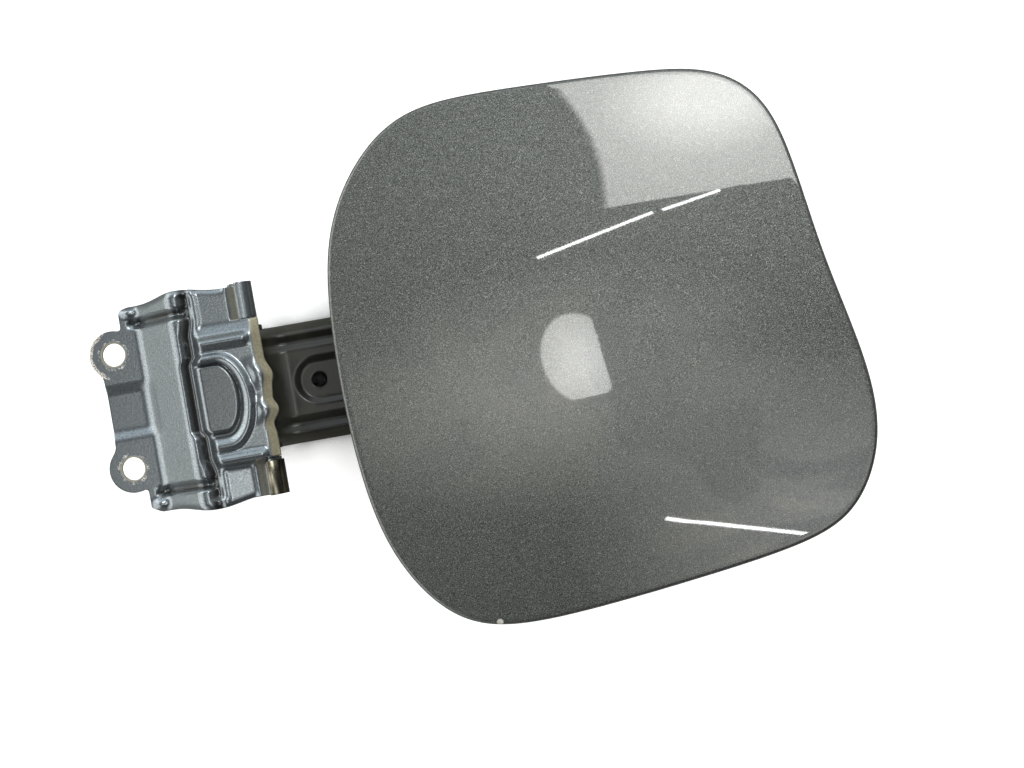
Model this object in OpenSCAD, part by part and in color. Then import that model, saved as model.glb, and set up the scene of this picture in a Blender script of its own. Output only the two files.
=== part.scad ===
// Car fuel door: a crowned door with a hemmed rim on a gooseneck arm, hinged on a pressed
// bracket that bolts to the body. X runs from the bracket to the free edge of the door,
// Y along the hinge pin and Z out of the body. The origin lies midway between the two
// bolt holes, on the face that seats on the body. All sizes are in millimetres.

/* [Bolt ears] */
// Distance between the two bolt holes
bolt_spacing = 35; // [32:0.5:38]
// Diameter of each bolt hole
bolt_hole_d = 7; // [5.5:0.1:8]
// Radius of the round ear about each bolt hole
ear_radius = 7.3; // [6.5:0.1:7.6]
// Depth by which the band between the ears is set back
band_drop = 1.2; // [0.4:0.1:1.6]

/* [Bracket pressing] */
// Thickness of the bracket sheet
bracket_t = 1.6; // [1.3:0.1:1.9]
// Distance from the bolt line to the foot of the slope
slope_foot_x = 8.6; // [8:0.2:10]
// Distance from the bolt line to the head of the slope
slope_head_x = 20.9; // [19:0.2:21.5]
// Depth of the moat round the sloping pad
moat_depth = 1.9; // [0.8:0.1:2.2]
// Height of the two ribs and of the ring bead above the block
bead_h = 1.4; // [0.6:0.1:1.6]
// Depth of the groove between the ring bead and the pad inside it
groove_depth = 1; // [0:0.1:1.2]
// Step from the block down to the wings that carry the knuckles
wing_drop = 1.5; // [0.8:0.1:2]
// Drop of the block's scalloped lip, from the block to its front edge
lip_drop = 2.2; // [1.4:0.1:2.6]

/* [Hinge] */
// Diameter of the hinge pin
pin_d = 4; // [3.5:0.1:4.4]
// Distance from the bolt line to the hinge pin
pin_x = 41.6; // [41:0.2:44]
// Height of the hinge pin above the seat on the body
pin_z = 4.4; // [4.2:0.1:6]
// Length of each rolled knuckle
knuckle_len = 11; // [9:0.5:12]
// Length of the bush's collar between the arm and a knuckle
collar_len = 2; // [1.5:0.1:3]
// Running gap between the pin and its bores, on the radius
pin_gap = 0.05; // [0.03:0.01:0.1]
// Radius of the round eye of the arm about the pin
eye_radius = 4.6; // [4.2:0.1:5]
// Wall of the bushes between the pin and the arm
bush_wall = 1; // [0.8:0.1:1.3]
// Thickness of the spring strip
spring_t = 0.6; // [0.4:0.05:0.8]
// Reach of the spring's working leaf behind the pin
spring_reach = 12; // [10:0.5:14]

/* [Arm] */
// Thickness of the arm sheet
arm_t = 1.6; // [1.2:0.1:1.8]
// Width of the arm over its flanges
arm_width = 38; // [36:0.5:39]
// Depth of the gooseneck below the hinge pin
arm_dip = 25; // [22:0.5:28]
// Length of the straight floor of the gooseneck
neck_floor = 22; // [20:0.5:26]
// Inner radius of the gooseneck's bends
neck_r = 8; // [6:0.5:9]
// Slope of the leg that rises to the door, in degrees
leg_angle = 65; // [58:1:72]
// Radius of the bend where the leg meets the door
foot_r = 9; // [7:0.5:10]
// Length of the foot that is welded to the inner panel
foot_len = 36; // [28:1:40]
// Depth of the arm's side flanges
flange_h = 5.5; // [4.5:0.5:6.5]
// Depth of the two grooves between the arm's floor and its rails
arm_groove = 1.3; // [0.6:0.1:1.5]
// Depth of the pocket about the locating hole
pocket_depth = 1.2; // [0.6:0.1:1.5]
// Radius of that pocket's upper edge
pocket_r = 8; // [7:0.5:9]
// Diameter of the locating hole in the arm
arm_hole_d = 5; // [3:0.2:5.4]

/* [Door] */
// Height of the crown of the door above the seat
door_z = 22; // [20:0.5:26]
// Crown radius of the door across its height
crown_r_y = 520; // [400:20:900]
// Crown radius of the door along its length
crown_r_x = 1500; // [1000:50:3000]
// Thickness of the outer skin
skin_t = 0.75; // [0.65:0.05:0.9]
// Thickness of the inner panel
inner_t = 0.7; // [0.6:0.05:0.9]
// Width of the hem that is folded over the inner panel
hem_w = 8.5; // [6:0.5:9]
// Depth of the inner panel's floor below the crown
floor_drop = 11; // [10:0.5:13]

/* [Door fittings] */
// Reach of the latch striker below the inner panel
striker_h = 25; // [18:1:26]
// Width of the latch striker
striker_w = 17; // [15:1:24]
// Height of a rubber buffer below the inner panel
buffer_h = 8; // [5:0.5:10]
// Diameter of a rubber buffer
buffer_d = 13; // [10:0.5:15]
// Width of the slot in the fuel cap's holder
cap_slot = 7; // [5:0.5:9]
// Diameter of the mastic pads between the skin and the inner panel
mastic_d = 12; // [8:1:14]

/* [Hidden] */

// Facets of true circles
$fn = 48;
// Gap between sheets that are folded or pushed together
seat_gap = 0.05;
// Axial gap between a knuckle and the collar of the bush beside it
end_gap = 0.3;
// Overlap by which solids of one piece run into each other
weld = 0.4;

// Points that the door's outline passes through, anticlockwise from the free edge
door_points = [[213.5, 13], [210, 38.5], [204.5, 57.5], [191, 69], [168, 72.5], [136, 74],
    [110, 74], [94, 69], [81.5, 57.5], [72.5, 41], [68.7, 20], [68, -8], [70.3, -38],
    [76.5, -59], [88, -75], [104, -82], [130, -81.5], [162, -78], [192, -73.5],
    [210, -66], [220, -49], [221.5, -30], [218, -9]];
// Steps of the outline between two of those points
door_steps = 3;
// Centre of the crown and of the rings that the door is drawn with
door_centre = [143, -4];
// Room above the arm's eyes, under the block
eye_room = 1.6;
// Length by which a knuckle stands out beyond the bracket's edge
knuckle_proud = 0.7;
bolt_y = bolt_spacing / 2;
knuckle_r = pin_d / 2 + pin_gap + bracket_t;
// Heights of the bracket's levels
tongue_z = pin_z + knuckle_r;
block_z = pin_z + eye_radius + bracket_t + eye_room;
wing_z = block_z - wing_drop;
// Faces along the pin, outwards from the arm's eyes
ear_y = arm_width / 2 - arm_t - 0.2;
knuckle_in = arm_width / 2 + collar_len + end_gap;
knuckle_out = knuckle_in + knuckle_len;
bracket_half = knuckle_out - knuckle_proud;
spring_r = knuckle_r + seat_gap;
finger_w = 4;
// Half of the block's width, just short of the two knuckles, and the step down to them
block_half = knuckle_in - 2 * seat_gap;
block_step = 0.8;
front_x = pin_x + 4.3;
// Positions of the moats and ribs
moat_x = slope_head_x + 2.6;
moat_w = 2.9;
side_moat_y = bracket_half - 5.8;
side_moat_depth = 1.1 * moat_depth;
rib_y = [block_half - 5.9, 1.4 - block_half];
rib_w = 2.8;
// The slopes down to the two wings, from the upper rib and from the lower one
wing_edges = [[rib_y[0] + 1.2, block_half - 0.4], [0.7 - rib_y[1], block_half + 1.6]];
// The ring bead is a D: its crest and its inner pad each have a centre and two half axes
crest_d = [moat_x + 8.4, -2.4, 8, 13.2];
pad_d = [moat_x + 7.8, -1, 4.9, 9.5];
ring_w = 2.4;
// The step at the front of each wing, down to its knuckle
step_x = [pin_x - 3.4, pin_x - 1.4];
// Ends of the band between the ears, and the rounding of the bracket's bends
band_x = [6.6, 10.5];
bend = 0.8;
// Levels of the door
floor_z = door_z - floor_drop;
hem_r = skin_t + inner_t / 2 + seat_gap;
neck_z = pin_z - arm_dip;
// The run of the rising leg, worked out so that the foot lies against the floor
leg_rise = floor_z - neck_z - (neck_r + foot_r) * (1 - cos(leg_angle));
leg_run = leg_rise / tan(leg_angle);
leg_x = pin_x + neck_r + neck_floor + neck_r * sin(leg_angle);
foot_x = leg_x + leg_run + foot_r * sin(leg_angle);
hole_x = pin_x + neck_r + 8;
// Places of the fittings on the inner panel's floor
striker_x = 193;
striker_y = -6;
rivet_dy = 5.5;
buffer_places = [[184, 46], [189, -50]];
buffer_hole_r = 3.2;
cap_x = 156;
cap_y = -3;
peg_dx = 11;
peg_r = 2.2;
mastic_places = [[104, 42], [104, -46], [150, 46], [150, -52]];
drain_places = [[97, 30, 5], [97, -36, 5], [176, 22, 6], [172, -34, 6]];
bead_y = [31, -34];
bead_x0 = 112;
bead_x1 = 168;
stiffener_r = 4.5;

// A value held between two limits
function clamp(v, lo, hi) = min(hi, max(lo, v));
// A smooth step from 0 at a to 1 at b
function soft_step(v, a, b) = let (t = clamp((v - a) / (b - a), 0, 1)) t * t * (3 - 2 * t);
// A rounded ridge of height 1 about c, which is half wide on each side
function ridge(v, c, half) = abs(v - c) >= half ? 0 : pow(cos(90 * (v - c) / half), 2);
// A straight ramp from 0 at a to 1 at b, with both corners rounded over r
function ease(v, r) = v <= -r ? 0 : v >= r ? v : (v + r) * (v + r) / (4 * r);
function ramp(v, a, b, r) = (ease(v - a, r) - ease(v - b, r)) / (b - a);
// A value in between a and b
function mix(a, b, t) = a + (b - a) * t;

// Faces of a closed sheet: rows and columns of points, first the top and then the underside
function grid_face(r, c, cols, base, flip) =
    let (a = base + r * cols + c, b = a + 1, d = a + cols, e = d + 1)
    flip ? [[a, d, b], [b, d, e]] : [[a, b, d], [b, e, d]];
function sheet_faces(rows, cols) =
    let (n = rows * cols)
    concat(
        [for (r = [0:rows - 2]) for (c = [0:cols - 2]) each grid_face(r, c, cols, 0, false)],
        [for (r = [0:rows - 2]) for (c = [0:cols - 2]) each grid_face(r, c, cols, n, true)],
        [for (c = [0:cols - 2]) each edge_face(c, c + 1, n)],
        [for (c = [0:cols - 2]) each edge_face(n - 1 - c, n - 2 - c, n)],
        [for (r = [0:rows - 2]) each edge_face((r + 1) * cols, r * cols, n)],
        [for (r = [0:rows - 2]) each edge_face((r + 1) * cols - 1, (r + 2) * cols - 1, n)]);
function edge_face(a, b, n) = [[a, a + n, b], [b, a + n, b + n]];

// A sheet from two grids of points of the same size
module sheet(top, under) {
    rows = len(top);
    cols = len(top[0]);
    polyhedron(concat([for (row = top) each row], [for (row = under) each row]),
        sheet_faces(rows, cols), convexity = 8);
}

// A solid drawn by closed rings, each with the same number of points, between two poles
module ringed(first, rings, last) {
    n = len(rings[0]);
    m = len(rings);
    points = concat([first], [for (ring = rings) each ring], [last]);
    faces = concat(
        [for (i = [0:n - 1]) [0, 1 + (i + 1) % n, 1 + i]],
        [for (k = [0:m - 2]) for (i = [0:n - 1])
            let (a = 1 + k * n + i, b = 1 + k * n + (i + 1) % n) each [[a, b, a + n], [b, b + n, a + n]]],
        [for (i = [0:n - 1]) [1 + m * n, 1 + (m - 1) * n + i, 1 + (m - 1) * n + (i + 1) % n]]);
    polyhedron(points, faces, convexity = 8);
}

// A flat shape given in X and Z, drawn from y0 to y1
module along_y(y0, y1) {
    translate([0, y1, 0]) rotate([90, 0, 0]) linear_extrude(y1 - y0) children();
}

// A round bar along Y
module bar(r, y0, y1) {
    along_y(y0, y1) circle(r);
}

// The door's outline: a smooth closed curve through its points
function pull(j) =
    let (n = len(door_points), p = door_points)
    (8 * p[j] - p[(j + n - 1) % n] - p[(j + 1) % n]) / 6;
function outline_at(i, f) =
    let (n = len(door_points))
    (pow(1 - f, 3) * pull((i + n - 1) % n) + (3 * f * f * f - 6 * f * f + 4) * pull(i)
        + (3 * (f * f - f * f * f + f) + 1) * pull((i + 1) % n)
        + f * f * f * pull((i + 2) % n)) / 6;
door_outline = [for (i = [0:len(door_points) - 1]) for (k = [0:door_steps - 1])
    outline_at(i, k / door_steps)];
door_normals = let (n = len(door_outline)) [for (i = [0:n - 1])
    let (d = door_outline[(i + 1) % n] - door_outline[(i + n - 1) % n]) [d[1], -d[0]] / norm(d)];
// The widest inset that still runs parallel to the rim
deep_inset = hem_w + 9;

// Height of the outer surface of the door
function crown_z(p) = door_z - pow(p[0] - door_centre[0], 2) / (2 * crown_r_x)
    - pow(p[1] - door_centre[1], 2) / (2 * crown_r_y);
// A ring set in from the rim, and drawn towards the centre by the share in
function rim_ring(inset, in = 0) = [for (i = [0:len(door_outline) - 1])
    mix(door_outline[i] - inset * door_normals[i], door_centre, in)];
function on_crown(ring, depth) = [for (p = ring) [p[0], p[1], crown_z(p) - depth]];
function on_level(ring, z) = [for (p = ring) [p[0], p[1], z]];
function blended(ring, depth, z, share) = [for (p = ring)
    [p[0], p[1], mix(crown_z(p) - depth, z, share)]];
function pole(z) = [door_centre[0], door_centre[1], z];

// Outer skin: crowned sheet whose rim is folded back under the inner panel
module outer_skin() {
    in_r = hem_r - skin_t;
    shares = [0.85, 0.55, 0.25];
    wraps = [0:45:180];
    color("dimgray") ringed(pole(door_z), concat(
        [for (s = shares) on_crown(rim_ring(deep_inset, s), 0)],
        [for (d = [deep_inset, hem_w, hem_r * 2]) on_crown(rim_ring(d), 0)],
        [for (a = wraps) on_crown(rim_ring(hem_r * (1 - sin(a))), hem_r * (1 - cos(a)))],
        [on_crown(rim_ring(hem_w), 2 * hem_r), on_crown(rim_ring(hem_w), 2 * hem_r - skin_t)],
        [for (a = [180, 90, 0]) on_crown(rim_ring(hem_r - in_r * sin(a)), hem_r - in_r * cos(a))],
        [for (d = [hem_w, deep_inset]) on_crown(rim_ring(d), skin_t)],
        [for (i = [2:-1:0]) on_crown(rim_ring(deep_inset, shares[i]), skin_t)]),
        pole(door_z - skin_t));
}

// The tray of the inner panel: an edge in the hem, a sloping wall and a flat floor
module inner_tray() {
    seat = skin_t + seat_gap;
    top_z = floor_z + inner_t;
    wall_0 = hem_w + 1.5;
    wall_1 = hem_w + 3;
    wall_2 = hem_w + 7.5;
    wall_t = inner_t * 1.3;
    ringed(pole(top_z), [
        on_level(rim_ring(deep_inset, 0.5), top_z),
        on_level(rim_ring(deep_inset), top_z),
        blended(rim_ring(wall_2), seat, top_z, 0.92),
        blended(rim_ring(wall_1), seat, top_z, 0.12),
        on_crown(rim_ring(wall_0), seat),
        on_crown(rim_ring(hem_r), seat),
        on_crown(rim_ring(hem_r), seat + inner_t),
        on_crown(rim_ring(wall_0), seat + inner_t),
        blended(rim_ring(wall_1), seat + wall_t, top_z - wall_t, 0.12),
        blended(rim_ring(wall_2), seat + wall_t, top_z - wall_t, 0.92),
        on_level(rim_ring(deep_inset), floor_z),
        on_level(rim_ring(deep_inset, 0.5), floor_z)],
        pole(floor_z));
}

// A hollow cone pressed up from the floor towards the skin, which carries a mastic pad
function mastic_z(p) = crown_z(p) - skin_t - 1.8;
module cone_cup(p, grow) {
    h = mastic_z(p) - floor_z;
    translate([p[0], p[1], floor_z]) rotate_extrude() polygon([[0, 0], [mastic_d / 2 + 5.5 - grow, 0],
        [mastic_d / 2 + 1 - grow, h - grow], [0, h - grow]]);
}

// A long bead pressed up from the floor
module long_bead(y, grow) {
    r = stiffener_r - grow;
    translate([bead_x0, y, floor_z]) rotate([0, 90, 0]) rotate_extrude()
        intersection() {
            union() {
                circle(r);
                square([r, bead_x1 - bead_x0]);
                translate([0, bead_x1 - bead_x0]) circle(r);
            }
            translate([0, -r]) square([r, bead_x1 - bead_x0 + 2 * r]);
        }
}

// Inner panel: pressed tray with beads, mastic seats, drain holes and holes for the fittings
module inner_panel() {
    top_h = 20;
    color("gray") difference() {
        union() {
            inner_tray();
            for (p = mastic_places) cone_cup(p, 0);
            intersection() {
                for (y = bead_y) long_bead(y, 0);
                translate([bead_x0 - 10, -60, floor_z]) cube([bead_x1 - bead_x0 + 20, 120, top_h]);
            }
        }
        for (p = mastic_places) translate([0, 0, -0.01]) cone_cup(p, inner_t);
        for (y = bead_y) long_bead(y, inner_t);
        for (d = drain_places) translate([d[0], d[1], floor_z - 1]) cylinder(r = d[2], h = 3);
        for (b = buffer_places) translate([b[0], b[1], floor_z - 1]) cylinder(r = buffer_hole_r, h = 3);
        for (s = [-1, 1]) {
            translate([cap_x + s * peg_dx, cap_y, floor_z - 1]) cylinder(r = peg_r + seat_gap, h = 3);
            translate([striker_x - 7, striker_y + s * rivet_dy, floor_z - 1])
                cylinder(r = 2 + seat_gap, h = 3);
        }
    }
}

// Mastic pads that keep the skin from drumming on the inner panel
module flutter_mastic() {
    play = 0.22;
    color("black") for (p = mastic_places) difference() {
        h = crown_z(p) - skin_t - mastic_z(p);
        slope_x = atan((p[0] - door_centre[0]) / crown_r_x);
        slope_y = atan((p[1] - door_centre[1]) / crown_r_y);
        translate([p[0], p[1], mastic_z(p) + 0.02]) cylinder(d = mastic_d, h = h + 1);
        translate([p[0], p[1], mastic_z(p) + h - play]) rotate([-slope_y, slope_x, 0])
            translate([-mastic_d, -mastic_d, 0]) cube([2 * mastic_d, 2 * mastic_d, 4]);
    }
}

// Stations along the arm's inner line, each with its X, its Z and its heading in degrees
function arc_station(cx, cz, r, a, heading) = [cx + r * cos(a), cz + r * sin(a), heading];
arm_stations = concat(
    [for (i = [0:3]) [pin_x, mix(pin_z - 8, neck_z + neck_r, i / 4), -90]],
    [for (a = [180:15:270]) arc_station(pin_x + neck_r, neck_z + neck_r, neck_r, a, a - 270)],
    [for (i = [1:11]) [pin_x + neck_r + neck_floor * i / 12, neck_z, 0]],
    [for (i = [0:4]) let (a = leg_angle * i / 4)
        arc_station(pin_x + neck_r + neck_floor, neck_z + neck_r, neck_r, a - 90, a)],
    [for (i = [1:4]) [leg_x + leg_run * i / 5, neck_z + neck_r * (1 - cos(leg_angle)) + leg_rise * i / 5,
        leg_angle]],
    [for (i = [0:4]) let (a = leg_angle * (1 - i / 4))
        arc_station(foot_x, floor_z - foot_r, foot_r, a + 90, a)],
    [for (i = [1:5]) [foot_x + foot_len * i / 5, floor_z, 0]]);
arm_cols = 24;
last_station = len(arm_stations) - 1;
// Stations at which the gooseneck's floor begins and ends, and at which the leg ends
floor_from = 8;
floor_to = 21;
leg_to = 30;

// Section of the arm: a floor with a groove on each side, a rail beyond each groove and then a
// flange. They fade out along the leg. The pocket about the hole is open towards the door.
function flange_at(i) = flange_h * (1 - soft_step(i, floor_to, leg_to + 1));
function groove_at(i) = arm_groove * (1 - soft_step(i, floor_to + 2, leg_to));
function pocket_at(i, w) =
    let (d = norm([max(0, hole_x - arm_stations[i][0]), w]))
    pocket_depth * (1 - soft_step(d, pocket_r - 2.5, pocket_r))
        * soft_step(i, floor_from - 1, floor_from) * (1 - soft_step(i, floor_to - 2, floor_to + 1));
function arm_h(i, w) =
    let (a = abs(w), half = arm_width / 2, shoulder = half - 3.8)
    -groove_at(i) * ridge(a, half - 6.1, 2.8) - pocket_at(i, w)
        - flange_at(i) * pow(max(0, a - shoulder) / (half - shoulder), 2);
function arm_w(i, c) =
    let (q = 2 * c / (arm_cols - 1) - 1, tip = max(0, i - last_station + 2))
    arm_width / 2 * (1 - 0.09 * tip * tip) * (1.35 * q - 0.35 * q * q * q);
function arm_point(i, c, drop) =
    let (s = arm_stations[i], w = arm_w(i, c),
        slope = (arm_h(i, w + 0.1) - arm_h(i, w - 0.1)) / 0.2,
        h = arm_h(i, w) - drop * min(1.8, sqrt(1 + slope * slope)))
    [s[0] - h * sin(s[2]), w, s[1] + h * cos(s[2])];

// Eye plate of the arm, in X and Z about the pin, with a heel that the spring bears on
module eye_plate(heel) {
    circle(eye_radius);
    polygon([[-eye_radius, 0], [eye_radius * 0.92, -eye_radius * 0.4], [-0.4, -9],
        [-0.4, -15], [-5.5, -17], [-6, -9]]);
    if (heel > 0) polygon([[-2, 3], [-2, -3.5], [-heel, -heel / 2], [-heel, -heel / 4]]);
}

// Hinge arm: pressed gooseneck whose two eye plates swing on the pin
module hinge_arm() {
    bush_r = pin_d / 2 + pin_gap + bush_wall;
    heel = spring_reach - finger_w - end_gap;
    color([0.13, 0.13, 0.12]) difference() {
        union() {
            sheet([for (i = [0:last_station]) [for (c = [0:arm_cols - 1]) arm_point(i, c, 0)]],
                [for (i = [0:last_station]) [for (c = [0:arm_cols - 1]) arm_point(i, c, arm_t)]]);
            translate([pin_x, 0, pin_z]) {
                along_y(ear_y, ear_y + arm_t) eye_plate(0);
                along_y(-ear_y - arm_t, -ear_y) eye_plate(heel);
            }
        }
        translate([pin_x, 0, pin_z]) bar(bush_r + seat_gap, -arm_width, arm_width);
        translate([hole_x, 0, neck_z - 6]) cylinder(d = arm_hole_d, h = 12);
    }
}

// Left and right edges of the bracket's sheet at the height y
function rear_x(y) =
    let (a = abs(y), corner = bolt_y + ear_radius)
    a < bolt_y - 3 ? mix(-4.2, -0.9 * ear_radius, clamp((a - bolt_y + 9.5) / 6.5, 0, 1))
    : a < corner - 0.6 ? mix(-0.9 * ear_radius, 0, (a - bolt_y + 3) / (ear_radius + 2.4))
    : 3.4 * soft_step(a, corner - 2.4, corner + 2.8)
        + 1.4 * soft_step(a, bracket_half - 1.6, bracket_half);
function front_edge(y) =
    let (a = abs(y),
        block = front_x + 1.7 * ridge(y, 3.4, 5.5) + 1.7 * ridge(y, -6.9, 4.4)
            + 0.7 * ridge(y, -1.7, 3.5) - 0.4 * ridge(y, -11.5, 3))
    mix(block, pin_x - 0.5, clamp((a - block_half) / block_step, 0, 1));
// Half width of the sheet at the station x, above and below the middle line
function half_width(x, y) = bracket_half
    + (y > 0 ? 1.6 * ridge(x, moat_x, 13) - 0.5 : 1.8 * ridge(x, moat_x + 1.5, 14) + 0.3);
// Middle line of the moat, which runs further out beside the wings
function moat_at(y) = moat_x + 1.4 * soft_step(abs(y), 9.5, 12.5) + soft_step(abs(y), 18, 23);

// Signed distance from a D that is open towards the moat
function d_distance(x, y, d) =
    let (v = [max(0, x - d[0]), y - d[1]], reach = max(0.01, norm([v[0] / d[2], v[1] / d[3]])))
    norm(v) * (1 - 1 / reach);
// The ring bead rises from a groove round the pad to its crest, and falls to the block
function ring_height(x, y) =
    let (out = d_distance(x, y, crest_d), in = d_distance(x, y, pad_d))
    out >= 0 ? bead_h * ridge(out, 0, ring_w)
    : in <= 0 ? 0
    : let (t = in / (in - out)) bead_h * soft_step(t, 0.3, 1) - groove_depth * ridge(t, 0.3, 0.3);

// Height of the upper surface of the bracket's sheet
function bracket_z(x, y) =
    let (a = abs(y), moat_line = moat_at(y), front = front_edge(y),
        level = bracket_t + (block_z - bracket_t) * ramp(x, slope_foot_x, slope_head_x, 1.3),
        band = band_drop * (1 - ramp(a, bolt_y - 12, bolt_y - 9, bend))
            * (1 - ramp(x, band_x[0], band_x[1], bend)),
        moat = moat_depth * ridge(x, moat_line, moat_w)
            * (1 - 0.5 * soft_step(a, bracket_half - 2, bracket_half)),
        side_moat = side_moat_depth * ridge(a, side_moat_y, 2.3)
            * soft_step(x, 5, 9) * (1 - soft_step(x, moat_line - 2, moat_line)),
        nub = 1.1 * ridge(x, 6.6, 3.4) * ridge(a, bracket_half - 2.2, 2.6),
        on_block = soft_step(x, moat_line + 1, moat_line + 3.5),
        behind_lip = 1 - soft_step(x, front_x - 5, front_x - 2.6),
        wing_edge = y > 0 ? wing_edges[0] : wing_edges[1],
        on_wing = ramp(a, wing_edge[0], wing_edge[1], bend),
        ribs = bead_h * (ridge(y, rib_y[0], rib_w) + ridge(y, rib_y[1], rib_w)),
        beads = on_block * behind_lip * (ribs + ring_height(x, y)),
        scallops = 0.9 * ridge(x, front - 3.9, 3.2) * (ridge(y, 4.2, 6) + ridge(y, -6.6, 5.2)),
        past_block = soft_step(a, block_half, block_half + block_step),
        lip = lip_drop * ramp(x, front - 2.3, front, 0.5) * (1 - 0.7 * on_wing) * (1 - past_block),
        tongue = (wing_z - tongue_z + seat_gap) * ramp(x, step_x[0], step_x[1], 0.4) * past_block,
        rim = 0.8 * pow(max(0, a - half_width(x, y) + 2) / 2, 2)
            * (1 - soft_step(x, step_x[0] - 2, step_x[0])))
    level - band - moat - side_moat + nub - wing_drop * on_block * on_wing + beads + scallops
        - lip - tongue - rim;

// Columns of the bracket's grid: three blocks that follow the rear edge, X and the front edge
rear_cols = 4;
mid_cols = 23;
front_cols = 6;
mid_x0 = slope_foot_x - 0.6;
mid_x1 = step_x[1];
// Rows on each side of the block and across it, with one more on each side for the step
side_rows = 7;
block_rows = 30;
row_y = concat([for (i = [0:side_rows]) mix(-bracket_half, -block_half - block_step, i / side_rows)],
    [for (i = [0:block_rows]) mix(-block_half, block_half, i / block_rows)],
    [for (i = [0:side_rows]) mix(block_half + block_step, bracket_half, i / side_rows)]);
bracket_rows = len(row_y);
function bracket_xy(r, c) =
    let (y = row_y[r],
        x = c < rear_cols ? mix(rear_x(y), mid_x0, c / rear_cols)
            : c <= rear_cols + mid_cols ? mix(mid_x0, mid_x1, (c - rear_cols) / mid_cols)
            : mix(mid_x1, front_edge(y), (c - rear_cols - mid_cols) / front_cols),
        inner = block_half + block_step,
        outer = max(0, abs(y) - inner) * (half_width(x, y) - inner) / (bracket_half - inner))
    [x, sign(y) * (min(abs(y), inner) + outer)];
function bracket_point(p, drop) =
    let (e = 0.15, z = bracket_z(p[0], p[1]),
        gx = (bracket_z(p[0] + e, p[1]) - bracket_z(p[0] - e, p[1])) / (2 * e),
        gy = (bracket_z(p[0], p[1] + e) - bracket_z(p[0], p[1] - e)) / (2 * e))
    [p[0], p[1], z - drop * min(1.7, sqrt(1 + gx * gx + gy * gy))];
bracket_grid = [for (c = [0:rear_cols + mid_cols + front_cols])
    [for (r = [0:bracket_rows - 1]) bracket_xy(r, c)]];

// Knuckle rolled from the sheet, with the slit that the rolling leaves
module knuckle(y0, y1) {
    translate([pin_x, 0, pin_z]) difference() {
        bar(knuckle_r, y0, y1);
        rotate([0, -152, 0]) translate([0, y0 - 1, -0.4]) cube([2 * knuckle_r, y1 - y0 + 2, 0.8]);
    }
}

// Hinge bracket: one pressing with two bolt ears, a sloping pad, a beaded block and knuckles
module hinge_bracket() {
    color("slategray") difference() {
        union() {
            sheet([for (row = bracket_grid) [for (p = row) bracket_point(p, 0)]],
                [for (row = bracket_grid) [for (p = row) bracket_point(p, bracket_t)]]);
            for (s = [-1, 1]) translate([0, s * bolt_y, 0]) cylinder(r = ear_radius, h = bracket_t);
            knuckle(knuckle_in, knuckle_out);
            knuckle(-knuckle_out, -knuckle_in);
        }
        for (s = [-1, 1]) translate([0, s * bolt_y, -1]) cylinder(d = bolt_hole_d, h = bracket_t + 2);
        translate([pin_x, 0, pin_z]) bar(pin_d / 2 + pin_gap, -bracket_half - 3, bracket_half + 3);
    }
}

// Hinge pin, flush with the outer ends of the knuckles
module hinge_pin() {
    chamfer = 0.4;
    len = 2 * knuckle_out - 0.4;
    r = pin_d / 2;
    color("silver") translate([pin_x, -len / 2, pin_z]) rotate([-90, 0, 0]) rotate_extrude()
        polygon([[0, 0], [r - chamfer, 0], [r, chamfer], [r, len - chamfer], [r - chamfer, len], [0, len]]);
}

// Plastic bush in an eye of the arm, with a collar that runs up to the knuckle
module bush() {
    r_in = pin_d / 2 + pin_gap;
    r_out = r_in + bush_wall;
    collar = arm_width / 2 + collar_len;
    color("ivory") translate([pin_x, ear_y - 0.3, pin_z]) rotate([-90, 0, 0]) rotate_extrude()
        polygon([[r_in, 0], [r_out, 0], [r_out, arm_t + 0.32], [r_out + 0.7, arm_t + 0.32],
            [r_out + 0.7, collar - ear_y + 0.3], [r_in, collar - ear_y + 0.3]]);
}
module upper_bush() {
    bush();
}
module lower_bush() {
    mirror([0, 1, 0]) bush();
}

// Spring clip: strip hooked over the lower knuckle, with a leaf that bears on the arm's heel
module knuckle_spring() {
    r = spring_r;
    o = spring_r + spring_t;
    y0 = -knuckle_out - 0.2;
    y1 = -knuckle_in - block_step - 0.1;
    finger_x = -spring_reach;
    color([0.42, 0.34, 0.22]) translate([pin_x, 0, pin_z]) {
        along_y(y0, y1) {
            difference() {
                circle(o);
                circle(r);
                translate([-2 * o, -2 * o]) square([2 * o, 4 * o]);
            }
            polygon([[0, r], [-0.7, r], [-0.9, r + 0.1], [-0.9, o + 0.1], [-0.7, o], [0, o]]);
            translate([finger_x, -o]) square([spring_reach, spring_t]);
        }
        translate([finger_x, y1 - weld, -o]) cube([finger_w, weld - y1 - ear_y + 0.5, spring_t]);
    }
}

// Latch striker: angle plate with a window that the release plunger engages
module latch_striker() {
    t = 1.5;
    foot = 16;
    slot = 8;
    color("lightgray") difference() {
        union() {
            translate([striker_x - foot + t, striker_y - striker_w / 2, floor_z - t])
                cube([foot, striker_w, t]);
            translate([striker_x, striker_y, floor_z]) rotate([0, 90, 0]) linear_extrude(t)
                polygon([[0, -striker_w / 2], [striker_h - 4, -striker_w / 2],
                    [striker_h, -striker_w / 2 + 4], [striker_h, striker_w / 2 - 4],
                    [striker_h - 4, striker_w / 2], [0, striker_w / 2]]);
        }
        translate([striker_x - 1, striker_y - slot / 2, floor_z - striker_h + 4]) cube([t + 2, slot, 10]);
        for (s = [-1, 1]) translate([striker_x - 7, striker_y + s * rivet_dy, floor_z - t - 1])
            cylinder(r = 2 + seat_gap, h = t + 2);
    }
}

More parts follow.
